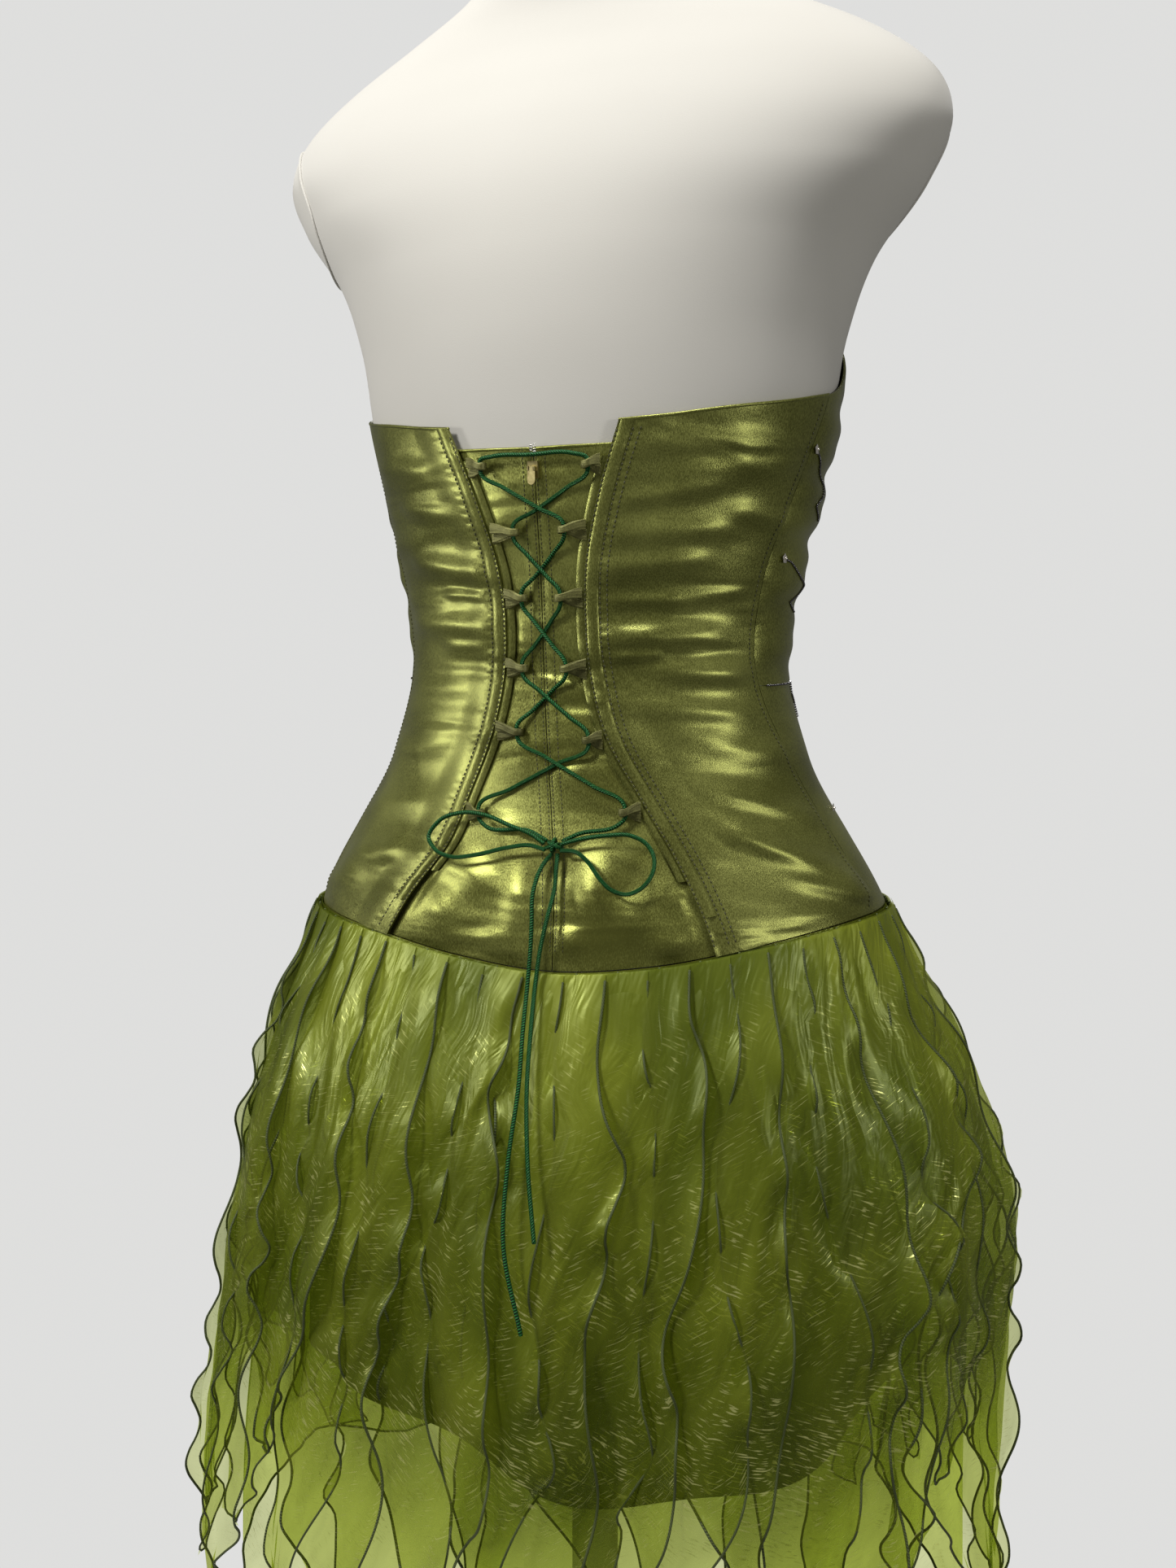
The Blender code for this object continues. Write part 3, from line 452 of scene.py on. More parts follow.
# %% [markdown]
# ## Satin
# Satin shines because its face is long floating threads. It is dark where it turns away and
# yellow-green where it catches a lamp. A part-metallic shader gives a shine in the cloth's
# own colour. Fine grain roughens the shine as the threads do, and a soft swell in the
# surface stands for the small drags that no pattern piece is free of.

# %% Satin finishes
def satin(name, colour, bright, shine=0.25, metal=0.70, swell=0.0032, size=15.0):
    made = Finish(name, IOR=1.5)
    made.set("Metallic", metal)
    thread = made.noise(made.place(scale=(1, 1, 0.35)), 1900.0, 2.0, 0.6)
    drift = made.noise(made.place(), 14.0, 3.0, 0.55, 0.4)
    grain = made.ramp(thread, 0.30, 0.72)
    share = made.ramp(drift * 0.75 + grain * 0.25, 0.30, 0.72)
    made.set("Base Color", made.blend(share, (*colour, 1), (*bright, 1)))
    made.set("Roughness", shine + 0.09 * grain + 0.05 * drift)
    drag = made.noise(made.place(scale=(0.42, 0.42, 1.7)), size, 2.0, 0.45, 0.6)
    where = made.ramp(made.noise(made.place(), 11.0, 1.0, 0.5), 0.38, 0.62)
    first = made.bump(made.ramp(drag, 0.25, 0.80) * (0.3 + 0.7 * where), swell, 1.0)
    made.set("Normal", made.bump(grain, 0.00006, 0.6, first))
    return made.material


olive_satin = satin("olive satin", (0.105, 0.110, 0.020), (0.235, 0.245, 0.060))
panel_satin = satin("puckered satin", (0.130, 0.135, 0.024), (0.310, 0.325, 0.080), 0.25, 0.72, 0.0036, 17.0)
dull_satin = satin("folded satin", (0.080, 0.078, 0.022), (0.150, 0.147, 0.042), 0.42, 0.60, 0.0005, 90.0)
under_satin = satin("underskirt satin", (0.150, 0.160, 0.022), (0.260, 0.270, 0.045), 0.30, 0.62, 0.0010, 16.0)
print("satins:", [m.name for m in (olive_satin, panel_satin, dull_satin, under_satin)])

# %% [markdown]
# ## The lace and its cord
# The lace is a 2.5 mm satin cord, bottle green. A lighter green is painted into its colour
# along the twist and in small flecks, as a painted highlight. It runs straight across the top,
# crosses five times through six pairs of loops, and ends in a bow with two free tails. Every
# part is a circle carried along its route.

# %% Cord finish
cord_green = Finish("bottle green cord", Metallic=0.45, IOR=1.4)
cord_twist = cord_green.node("ShaderNodeTexWave", {"wave_type": "BANDS", "bands_direction": "DIAGONAL"},
                             {"Vector": cord_green.place(True, (1, 1, 1)), "Scale": 420.0, "Distortion": 1.0})
cord_fleck = cord_green.noise(cord_green.place(), 900.0, 2.0, 0.6)
# Painted highlight: the twist bands and flecks mark where the base colour is painted a lighter green.
cord_painted_highlight = cord_green.ramp(cord_twist * 0.5 + cord_fleck * 0.5, 0.42, 0.72)
cord_green.set("Base Color", cord_green.blend(cord_painted_highlight, (0.001, 0.014, 0.003, 1), (0.008, 0.120, 0.020, 1)))
cord_green.set("Roughness", 0.34 + 0.20 * cord_fleck)
cord_green.set("Normal", cord_green.bump(cord_twist, 0.00025, 1.0))
cord_finish = cord_green.material

# %% Routes of the lace
LACE = 0.0025
LOOP_UNDER, LOOP_OVER, LACE_UNDER, LACE_OVER, LACE_INSIDE = 0.0042, 0.0094, 0.0030, 0.0067, 0.0030
BAR_HEIGHT, GAP = 1.1732, 0.0003
LOOP_TIPS = (
    (0.028, 1.1680, 0.029, 1.1670), (0.010, 1.1310, 0.014, 1.1320), (0.007, 1.0940, 0.010, 1.0940),
    (0.008, 1.0538, 0.012, 1.0538), (0.013, 1.0170, 0.023, 1.0135), (0.041, 0.9690, 0.041, 0.9735),
)
KNOT, KNOT_SIZE = (0.0028, 0.9540, 0.0078), (0.0050, 0.0046, 0.0038)
BOW_LEFT = (
    (-0.0090, 0.9596, 0.0105), (-0.0213, 0.9641, 0.0120), (-0.0357, 0.9691, 0.0130),
    (-0.0535, 0.9688, 0.0130), (-0.0667, 0.9633, 0.0130), (-0.0745, 0.9534, 0.0130),
    (-0.0699, 0.9467, 0.0130), (-0.0598, 0.9438, 0.0130), (-0.0426, 0.9464, 0.0120),
    (-0.0238, 0.9516, 0.0115), (-0.0100, 0.9536, 0.0105),
)
BOW_RIGHT = (
    (0.0152, 0.9575, 0.0105), (0.0240, 0.9597, 0.0115), (0.0350, 0.9615, 0.0125),
    (0.0467, 0.9619, 0.0130), (0.0553, 0.9577, 0.0130), (0.0595, 0.9504, 0.0130),
    (0.0588, 0.9417, 0.0130), (0.0538, 0.9343, 0.0130), (0.0450, 0.9300, 0.0130),
    (0.0361, 0.9323, 0.0130), (0.0300, 0.9378, 0.0125), (0.0235, 0.9465, 0.0120),
    (0.0165, 0.9515, 0.0110),
)


def lace_route(start_side):
    """Half of the lace: from the middle of the top bar, side to side down to the knot."""
    hold = (LOOP_UNDER + LOOP_OVER) / 2
    route = [(0.0003 * start_side, BAR_HEIGHT, hold)]
    side = start_side
    for row in range(6):
        left, left_height, right, right_height = LOOP_TIPS[row]
        tip, height = (left, left_height) if side < 0 else (right, right_height)
        inside = side * (tip + LACE_INSIDE)
        if row == 0:
            route.append((side * (tip - 0.005), BAR_HEIGHT, hold))
        route.append((inside, height + 0.0034, hold))
        route.append((inside, height - 0.0034, hold))
        if row < 5:
            after = LOOP_TIPS[row + 1]
            far, far_height = (after[0], after[1]) if side > 0 else (after[2], after[3])
            first = np.array([inside, height - 0.0040])
            last = np.array([-side * (far + LACE_INSIDE), far_height + 0.0040])
            crossing = LACE_OVER if (row % 2 == 0) == (start_side < 0) else LACE_UNDER
            for share in (0.28, 0.5, 0.72):
                out = crossing if share == 0.5 else 0.8 * crossing + 0.2 * hold
                route.append((*(first + (last - first) * share), out))
        side = -side
    side = -side
    away, bend = KNOT_SIZE[0] + GAP + 0.0001, math.radians(24)
    route.append((inside - side * 0.0035, height - 0.0068, hold))
    route.append((KNOT[0] + side * away * 2.6, KNOT[1] + away * 1.2, 0.0060))
    route.append((KNOT[0] + side * away * math.cos(bend), KNOT[1] + away * math.sin(bend), 0.0060))
    return np.array([near_back(q, z, w) for q, z, w in route])


def bow_route(word):
    """A bow loop: out of the knot, round, and back into it."""
    points = BOW_LEFT if word == "left" else BOW_RIGHT
    first, last = (12, -26) if word == "right" else (168, 206)
    away = KNOT_SIZE[0] + GAP + 0.0001
    ends = [(KNOT[0] + away * math.cos(a), KNOT[1] + away * math.sin(a), 0.0098)
            for a in (math.radians(first), math.radians(last))]
    return np.array([near_back(q, z, w) for q, z, w in (ends[0], *points, ends[1])])


for word, side in (("left", -1), ("right", 1)):
    path = smooth_route(lace_route(side), 0.0012)
    print("lace half from the", word, "length", round(route_length(path), 4))
    threaded = put_tubes(f"threaded_lace_{word}", [tube_parts(path, LACE / 2, outward(path), 12)], cord_finish)
    dress(threaded, "lace_cord", f"lace_from_{word}")
    path = smooth_route(bow_route(word), 0.0012)
    loop = put_tubes(f"bow_{word}", [tube_parts(path, LACE / 2, outward(path), 12)], cord_finish)
    dress(loop, "lace_cord", f"bow_loop_{word}")
    print("bow", word, "length", round(route_length(path), 4))

# %% [markdown]
# The skirt's own coordinates are needed before the tails, because the tails hang over it.
# The skirt starts at a seam that dips at the back. Its layers stand out of that seam by
# distances that grow downwards, and the organza swings out further at the sides.

# %% Skirt coordinates
SKIRT_SEAM = ((-180, 0.893), (-90, 0.894), (-60, 0.894), (-40, 0.892), (-20, 0.886), (0, 0.8825))
SKIRT_SEAM += ((20, 0.889), (40, 0.900), (60, 0.908), (90, 0.910), (135, 0.902), (180, 0.893))
SKIRT_FLARE = (
    (0.000, 0.0000, 0.0017, 0.0034, 0.0000, 0.0025), (0.030, 0.0020, 0.0075, 0.0130, 0.0012, 0.0052),
    (0.070, 0.0045, 0.0160, 0.0235, 0.0035, 0.0080), (0.130, 0.0070, 0.0270, 0.0360, 0.0060, 0.0110),
    (0.200, 0.0090, 0.0350, 0.0450, 0.0080, 0.0140), (0.300, 0.0120, 0.0420, 0.0525, 0.0095, 0.0150),
    (0.400, 0.0150, 0.0460, 0.0570, 0.0105, 0.0150), (0.520, 0.0180, 0.0480, 0.0600, 0.0110, 0.0150),
)
SIDE_FLARE = (
    (0.000, 0.000, 0.000), (0.030, 0.003, 0.002), (0.070, 0.012, 0.007), (0.130, 0.024, 0.012),
    (0.200, 0.030, 0.014), (0.280, 0.020, 0.018), (0.360, 0.012, 0.025), (0.520, 0.014, 0.028),
)
SKIRT_WAVES = ((11, 0.55, 0.3), (7, 0.30, 1.7), (17, 0.15, 4.0))
ORGANZA, SKIRT_GAP = 0.0010, 0.0008


def seam_height(angle):
    return table(SKIRT_SEAM, (np.asarray(angle, float) + 180) % 360 - 180)


def skirt(angle, drop, out):
    """Points of the skirt: angle round the seam, drop below it, distance out of the seam."""
    angle, drop, out = np.broadcast_arrays(
        np.asarray(angle, float), np.asarray(drop, float), np.asarray(out, float)
    )
    seam = seam_height(angle)
    place = cloth(angle, seam, out)
    place[..., 2] = seam - drop
    return place


def waves(angle, rows):
    """A sum of sines round the body, each a share of the depth."""
    turn = np.radians(angle)
    return sum(share * np.sin(count * turn + phase) for count, share, phase in rows)


def side_flare(angle, drop):
    """Two bell curves round the body, times how far the organza swings out at that drop."""
    right = np.exp(-((wrapped(angle - 97) / 38) ** 2))
    left = np.exp(-((wrapped(angle + 55) / 38) ** 2))
    return right * table(SIDE_FLARE, drop, 1) + left * table(SIDE_FLARE, drop, 2)


def layer_out(angle, drop, column):
    """How far the under layer or the strips stand out, with the waves both share."""
    out = table(SKIRT_FLARE, drop, column) + (0.6 if column == 2 else 1.0) * side_flare(angle, drop)
    return out + table(SKIRT_FLARE, drop, 4) * waves(angle + 30 * drop, SKIRT_WAVES)


print("seam at the centre back:", float(seam_height(0)))

# %% The free tails and the knot
TAIL_LEFT = ((0.9438, -0.0035), (0.9286, -0.0090), (0.9111, -0.0098), (0.8964, -0.0100))
TAIL_LEFT += ((0.8767, -0.0106), (0.8518, -0.0090), (0.8271, -0.0072), (0.7852, -0.0079))
TAIL_LEFT += ((0.7436, -0.0062), (0.6990, 0.0049))
TAIL_RIGHT = ((0.9438, 0.0040), (0.9300, 0.0024), (0.9148, -0.0005), (0.8985, -0.0038))
TAIL_RIGHT += ((0.8792, -0.0060), (0.8522, -0.0045), (0.8273, -0.0028), (0.7865, 0.0022))
TAIL_RIGHT += ((0.7471, 0.0085),)


def tail_route(tail, knot_side):
    """A tail: out of the knot, then down over the outermost strips."""
    away, bend = KNOT_SIZE[0] + GAP + 0.0001, math.radians(-90 - 20 * knot_side)
    points = [near_back(KNOT[0] + away * math.cos(bend), KNOT[1] + away * math.sin(bend), 0.0066)]
    seam = float(seam_height(0))
    for height, distance in tail:
        if height > seam + 0.004:
            points.append(near_back(distance, height, 0.0072 + 0.004 * (height < 0.93)))
            continue
        drop, turn = seam - height, float(angle_at(distance, seam))
        out = table(SKIRT_FLARE, drop, 3) + table(SKIRT_FLARE, drop, 4) + ORGANZA + side_flare(turn, drop)
        out = out + table(SKIRT_FLARE, drop, 5) + LACE / 2 + 0.0025
        points.append(skirt(np.array(turn), np.array(drop), out))
    return np.array(points)


for word, tail in (("left", TAIL_LEFT), ("right", TAIL_RIGHT)):
    path = smooth_route(tail_route(tail, 1 if word == "left" else -1), 0.0012)
    piece = put_tubes(f"free_tail_{word}", [tube_parts(path, LACE / 2, outward(path), 12)], cord_finish)
    dress(piece, "lace_cord", f"lace_tail_{word}")
    size = route_length(path)
    print("tail", word, "length", round(size, 4))


def knot_strands():
    """Three turns of cord round the knot's middle, each a tilted ring on an ellipsoid."""
    turn = np.linspace(0, 2 * math.pi, 49)[:-1]
    reach = np.array(KNOT_SIZE) - LACE / 2 * 0.9
    for tilt, shift in ((0.35, -0.0011), (-0.45, 0.0009), (1.35, 0.0)):
        across = reach[0] * np.cos(turn) * math.cos(tilt) + shift
        up = reach[1] * np.cos(turn) * math.sin(tilt) + shift * 0.4
        out = KNOT[2] + reach[2] * np.sin(turn)
        yield near_back(KNOT[0] + across, KNOT[1] + up, out)


strands = [tube_parts(ring, LACE / 2 * 0.92, outward(ring), 10) for ring in knot_strands()]
dress(put_tubes("cord_knot", strands, cord_finish), "lace_cord", "bow_knot")

# %% [markdown]
# ## The bodice's pattern
# The pieces share level rows between the top edge and the waist, and between the waist and
# the skirt seam, so their edges meet. Rows and columns are far finer than the solids'.

# %% Pattern tables
SATIN = 0.0012
WAIST_LINE, WAIST_ROW, LOWER_ROWS, SEAM_ANGLE = 1.043, 8, 7, 0.12
FACING_SHOWS, FACING_TUCK, CHANNEL_WIDTH, MODESTY_TUCK, MODESTY_TOP_ROW = 0.005, 0.007, 0.008, 0.012, 0.65
TOP_EDGE = ((0, 1.189), (22, 1.191), (45, 1.198), (70, 1.206), (90, 1.216), (110, 1.242))
TOP_EDGE += ((132, 1.264), (150, 1.268), (166, 1.250), (180, 1.234))
LACING_EDGES = (
    (0.870, 0.122, 0.104), (0.918, 0.094, 0.086), (0.950, 0.067, 0.070), (0.980, 0.051, 0.053),
    (1.017, 0.033, 0.035), (1.050, 0.024, 0.028), (1.080, 0.022, 0.026), (1.110, 0.025, 0.027),
    (1.150, 0.037, 0.036), (1.200, 0.057, 0.053),
)
SIDE_SEAM = ((0.88, 77), (0.95, 76), (0.991, 74), (1.035, 68), (1.073, 65.5))
SIDE_SEAM += ((1.11, 66.5), (1.157, 73), (1.212, 81), (1.25, 86))
CREASES = (
    (34, 1.072, 20, 0.0075, 0.00005, 0.0022), (46, 1.052, 16, 0.0070, -0.00010, 0.0018),
    (30, 1.113, 15, 0.0070, 0.00020, 0.0016), (36, 1.131, 17, 0.0080, 0.00015, 0.0015),
    (58, 0.945, 22, 0.0100, -0.00110, 0.0022), (-30, 1.112, 18, 0.0075, -0.00025, 0.0017),
    (-34, 1.078, 20, 0.0080, -0.00010, 0.0020), (-52, 0.935, 14, 0.0100, 0.00060, 0.0016),
)
FINE_FOLDS = (
    (52, 1.166, 18, 0.0070, 0.00020, 0.0009), (34, 1.152, 14, 0.0050, 0.00035, 0.0007),
    (62, 1.140, 14, 0.0060, -0.00020, 0.0008), (28, 1.093, 9, 0.0040, 0.00010, 0.0008),
    (48, 1.096, 14, 0.0045, 0.00025, 0.0006), (26, 1.061, 8, 0.0030, 0.00010, 0.0010),
    (40, 1.030, 20, 0.0060, -0.00015, 0.0008), (54, 1.008, 18, 0.0070, -0.00030, 0.0008),
    (52, 0.978, 20, 0.0070, -0.00060, 0.0009), (66, 0.925, 14, 0.0060, -0.00070, 0.0009),
    (44, 1.180, 20, 0.0060, 0.00010, 0.0006), (-46, 1.172, 16, 0.0065, -0.00020, 0.0009),
    (-36, 1.146, 12, 0.0050, -0.00030, 0.0008), (-52, 1.128, 14, 0.0060, 0.00010, 0.0007),
    (-24, 1.096, 8, 0.0035, -0.00020, 0.0008), (-46, 1.092, 14, 0.0050, -0.00010, 0.0006),
    (-26, 1.066, 9, 0.0035, 0.00000, 0.0007), (-40, 1.040, 18, 0.0065, 0.00005, 0.0006),
    (-48, 1.002, 18, 0.0080, 0.00020, 0.0008), (-50, 0.968, 18, 0.0080, 0.00030, 0.0008),
    (-64, 0.915, 12, 0.0070, 0.00050, 0.0008),
)


def ridges(angle, height, rows):
    """A sum of soft ridges: each is a flat-topped bell round the body times a bell in
    height, and may run uphill."""
    lift = np.zeros(np.broadcast(angle, height).shape)
    for middle, at, reach, half, tilt, depth in rows:
        along = (angle - middle) / reach
        up = (height - at - tilt * (angle - middle)) / half
        lift += depth * np.exp(-(along**4) - up**2)
    return lift


def lacing_edge(side, height):
    return table(LACING_EDGES, height, 1 if side < 0 else 2)


def top_height(angle):
    return table(TOP_EDGE, wrapped(angle))


def level(angle, row):
    """Height of a row: rows run from the top edge to the waist, then to the skirt seam."""
    row = np.asarray(row, float)
    top = top_height(angle) + (WAIST_LINE - top_height(angle)) * row / WAIST_ROW
    low = WAIST_LINE + (seam_height(angle) - WAIST_LINE) * (row - WAIST_ROW) / LOWER_ROWS
    return np.where(row < WAIST_ROW, top, low)


def across_from_edge(side, rows, steps):
    """Angles and heights of points that lie these distances beyond a lacing edge, found by
    going back and forth between the row's height and the edge's place."""
    row, step = np.asarray(rows, float)[:, None], np.asarray(steps, float)[None, :]
    angle = np.full(np.broadcast(row, step).shape, 20.0)
    for _ in range(8):
        height = level(side * angle, row)
        angle = angle_at(lacing_edge(side, height) + step, height)
    return side * angle, level(side * angle, row)


def panel_lift(side, angle, height):
    """The back panel's inner face: over the facing by its edge, down on the form beyond."""
    edge = angle_at(lacing_edge(side, height), height)
    beyond = np.radians(np.abs(angle) - edge) * 0.13
    return 0.0004 + 0.0029 * (1 - smooth((beyond - 0.010) / 0.022)) + ridges(angle, height, CREASES)


print("back panel height at 40 degrees:", round(float(level(40, 0) - level(40, 15)), 3))

# %% [markdown]
# ## Back panels
# Each back panel pulls tight from the side seam to the lacing, which drags soft folds
# across it. The large folds are in the solids, and the small ones are added here. The edge
# is a rolled fold, and the bone channel beside it is a raised band between two stitch rows.

# %% Back panels and bone channels
def panel_grid(side, rows, columns):
    """Angles and heights from the lacing edge to the side seam."""
    row = np.linspace(0, WAIST_ROW + LOWER_ROWS, rows)[:, None]
    share = np.linspace(0, 1, columns)[None, :] ** 1.15
    angle = np.full((rows, columns), 40.0)
    for _ in range(10):
        height = level(side * angle, row)
        first = angle_at(lacing_edge(side, height[:, :1]), height[:, :1])
        seam = table(SIDE_SEAM, height[:, -1:]) - SEAM_ANGLE
        angle = first + (seam - first) * share
    return side * angle, level(side * angle, row)


def from_edge(side, angle, height):
    """Distance beyond the lacing edge, in metres."""
    return (np.abs(angle) - angle_at(lacing_edge(side, height), height)) * math.pi / 180 * 0.13


def panel_faces(side, angle, height):
    """The panel's inner and outer distances: fine folds fade near the edge, small pinches
    follow the channel's stitches, and the edge is a little roll."""
    beyond = from_edge(side, angle, height)
    free = smooth((beyond - 0.004) / 0.014) * smooth((height - seam_height(angle)) / 0.012)
    fine = (2.6 * ridges(angle, height, FINE_FOLDS) + 1.1 * ridges(angle, height, CREASES)) * free
    near_row = np.exp(-(((beyond - 0.0115) / 0.0022) ** 2))
    pinch = 0.00035 * np.sin(height * 2 * math.pi / 0.0052) * near_row
    roll = 0.0006 * np.exp(-((beyond / 0.0016) ** 2))
    inner = panel_lift(side, angle, height) + fine * 0.8
    return inner, inner + SATIN + fine * 0.2 + pinch + roll


for side, word in ((-1, "left"), (1, "right")):
    angle, height = panel_grid(side, 165, 92)
    inner, outer = panel_faces(side, angle, height)
    grids = outward_order(side, cloth(angle, height, outer), cloth(angle, height, inner))
    panel = wall(f"satin_back_{word}", *grids, olive_satin)
    dress(panel, "satin", f"back_panel_{word}")
    tall, wide, cut = (0.31, 0.16, 0.037) if side > 0 else (0.31, 0.13, 0.038)
    rows = np.linspace(0.02, 13.96, 180)
    place = np.linspace(0.0012, 0.0080, 15)
    turn, rise = across_from_edge(side, rows, place)
    crown = np.sin(math.pi * np.linspace(0, 1, 15))[None, :] ** 0.7
    base = panel_lift(side, turn, rise) + SATIN + 0.0002
    grids = outward_order(side, cloth(turn, rise, base + 0.0002 + 0.0010 * crown), cloth(turn, rise, base))
    band = wall(f"bone_band_{word}", *grids, olive_satin)
    dress(band, "satin_edging", f"bone_channel_{word}")
    print("panel", word, "points", angle.size)

# %% Stitch rows and rolled top edges
def panel_row(side, step):
    """A path on a back panel's surface at this distance beyond its lacing edge."""
    turn, rise = across_from_edge(side, np.linspace(0.25, 14.8, 220), [step])
    return cloth(turn, rise, panel_faces(side, turn, rise)[1] + 0.0001)[:, 0]


sewing = Finish("olive thread", Roughness=0.55, IOR=1.45)
sewing_fleck = sewing.noise(sewing.place(), 900.0, 2.0, 0.5)
sewing.set("Base Color", sewing.blend(sewing_fleck, (0.018, 0.018, 0.004, 1), (0.060, 0.060, 0.016, 1)))
sewing_finish = sewing.material
for side, word in ((-1, "left"), (1, "right")):
    rows = [panel_row(side, 0.0089), panel_row(side, 0.0007)]
    if side > 0:
        rows.append(panel_row(side, 0.0128))
    level_row = np.linspace(0.2, 14.8, 220)
    near = side * (table(SIDE_SEAM, level(side * 72, level_row)) - 2.2)
    rise = level(near, level_row)
    rows.append(cloth(near, rise, panel_faces(side, near, rise)[1] + 0.0001))
    dress(stitches(f"panel_stitches_{word}", rows, sewing_finish), "satin")
    angle, height = panel_grid(side, 2, 160)
    edge = cloth(angle[0], height[0] - 0.0002, panel_lift(side, angle[0], height[0]) + SATIN / 2)
    roll = put_tubes(f"top_roll_{word}", [tube_parts(edge, 0.0010, outward(edge), 10)], olive_satin)
    dress(roll, "satin")
print("stitch rows on the back panels")

# %% [markdown]
# ## Modesty panel and facings
# Behind the lacing lies a panel in two halves that meet at the zip. It is not pulled tight,
# so it puckers, most of all near the skirt seam. A narrow facing shows inside each edge.

# %% Modesty panel and loop facings
PUCKERS = (
    (-0.050, 0.930, 0.016, 0.014, 0.0016), (-0.072, 0.910, 0.012, 0.012, 0.0014),
    (-0.022, 0.918, 0.010, 0.022, 0.0015), (0.024, 0.925, 0.010, 0.022, 0.0016),
    (0.050, 0.915, 0.014, 0.011, 0.0018), (0.068, 0.902, 0.010, 0.008, 0.0014),
    (-0.036, 0.900, 0.012, 0.007, 0.0012), (0.010, 0.900, 0.008, 0.007, 0.0010),
    (0.036, 0.943, 0.010, 0.012, 0.0012), (-0.030, 0.955, 0.010, 0.014, 0.0008),
    (-0.014, 1.005, 0.008, 0.014, 0.0004), (0.014, 0.990, 0.008, 0.016, 0.0004),
    (-0.010, 1.070, 0.006, 0.012, 0.0004), (0.010, 1.100, 0.006, 0.012, 0.0004),
    (-0.018, 1.150, 0.010, 0.010, 0.0005), (0.016, 1.140, 0.008, 0.012, 0.0005),
)


def pucker(side, distance, height):
    """A sum of round bells, in metres from the centre back and in height."""
    lift = np.zeros(distance.shape)
    for across, at, wide, tall, depth in PUCKERS:
        lift += depth * np.exp(-(((side * distance - across) / wide) ** 2) - ((height - at) / tall) ** 2)
    return lift


def puffed(side, distance, height):
    """How far the modesty panel puckers out: not at the zip, the seam or under the edges."""
    shown = smooth((lacing_edge(side, height) - 0.004 - distance) / 0.006)
    puff = 2.3 * pucker(side, distance, height) * shown * smooth(distance / 0.006)
    puff += 0.0014 * np.exp(-(((height - 0.925) / 0.020) ** 2)) * shown * smooth(distance / 0.02)
    return puff * smooth((height - seam_height(side * angle_at(distance, height))) / 0.006)


for side, word in ((-1, "left"), (1, "right")):
    row = np.linspace(MODESTY_TOP_ROW, 15, 140)[:, None]
    share = np.linspace(0, 1, 48)[None, :]
    angle = np.full((140, 48), 10.0)
    for _ in range(10):
        height = level(side * angle, row)
        wide = lacing_edge(side, height) + MODESTY_TUCK
        distance = 0.0003 + (wide - 0.0003) * share
        angle = angle_at(distance, height)
    lip = 0.0004 * np.exp(-(((distance - 0.0045) / 0.0030) ** 2))
    inner = 0.0004 + puffed(side, distance, height)
    grids = (cloth(side * angle, height, inner + 0.0010 + lip), cloth(side * angle, height, inner))
    panel = wall(f"modesty_satin_{word}", *outward_order(side, *grids), panel_satin)
    dress(panel, "satin", f"modesty_panel_{word}")
    rows = np.linspace(1, 13, 150)
    turn, rise = across_from_edge(side, rows, np.linspace(-FACING_SHOWS, FACING_TUCK, 12))
    fold = 0.0011 * np.sin(math.pi * np.clip(np.linspace(0, 1.9, 12)[None, :], 0, 1)) ** 0.8
    grids = outward_order(side, cloth(turn, rise, 0.0029 + fold), cloth(turn, rise, 0.0020 + 0 * fold))
    facing = wall(f"facing_{word}", *grids, olive_satin)
    dress(facing, "satin", f"loop_facing_{word}")
    print("modesty half", word)

# %% Zip rows
zip_height = np.linspace(1.178, 0.892, 260)
zip_rows = []
for step in (-0.0068, 0.0068, -0.0016, 0.0016):
    size = abs(step)
    lip = 0.0004 * math.exp(-(((size - 0.0045) / 0.0030) ** 2))
    lift = 0.0004 + puffed(math.copysign(1, step), size + 0 * zip_height, zip_height) + 0.0011 + lip
    zip_rows.append(near_back(step + 0 * zip_height, zip_height, lift))
dress(stitches("zip_stitches", zip_rows, sewing_finish, 0.0018, 0.0025, 0.00028), "satin")
top_angle = np.linspace(-0.055, 0.055, 120)
top_rise = level(np.degrees(top_angle / 0.15), MODESTY_TOP_ROW)
edge = near_back(top_angle, top_rise - 0.0001, 0.0011 + 0.0004 * np.sin(110 * top_angle))
dress(put_tubes("modesty_top_roll", [tube_parts(edge, 0.0009, outward(edge), 10)], panel_satin), "satin")
print("zip rows made")

# %% [markdown]
# ## Lacing loops
# A lacing loop is a rolled strip of satin, folded over the lace. Its section is a flat oval
# that opens at the turn and pinches at the seam, and it is carried along the fold's route.

# %% Lacing loops
LOOP_HEIGHT, LOOP_CLOTH = 0.0050, 0.0010


def loop_route(side, tip, height):
    """Out over the lace, round it, and back under it."""
    base = float(lacing_edge(side, height + np.linspace(-0.006, 0.006, 9)).min()) - GAP - 0.0003
    under, over = LOOP_UNDER, LOOP_OVER
    middle, half = (under + over) / 2, (over - under) / 2
    span = base - tip - half
    run = [(base, under + 0.0016, 0.0029), (base - 0.35 * span, under + 0.0028, 0.0023)]
    run += [(tip + half + 0.18 * span, over - 0.0002, 0.0006)]
    for turn in (90, 50, 0, -50, -90):
        bend = math.radians(turn)
        run.append((tip + half - half * math.cos(bend), middle + half * math.sin(bend), 0.0))
    run += [(tip + half + 0.18 * span, under, -0.0006), (base - 0.35 * span, under, -0.0023)]
    run += [(base, under - 0.0001, -0.0029)]
    return np.array([near_back(side * d, height + up, out) for d, out, up in run])


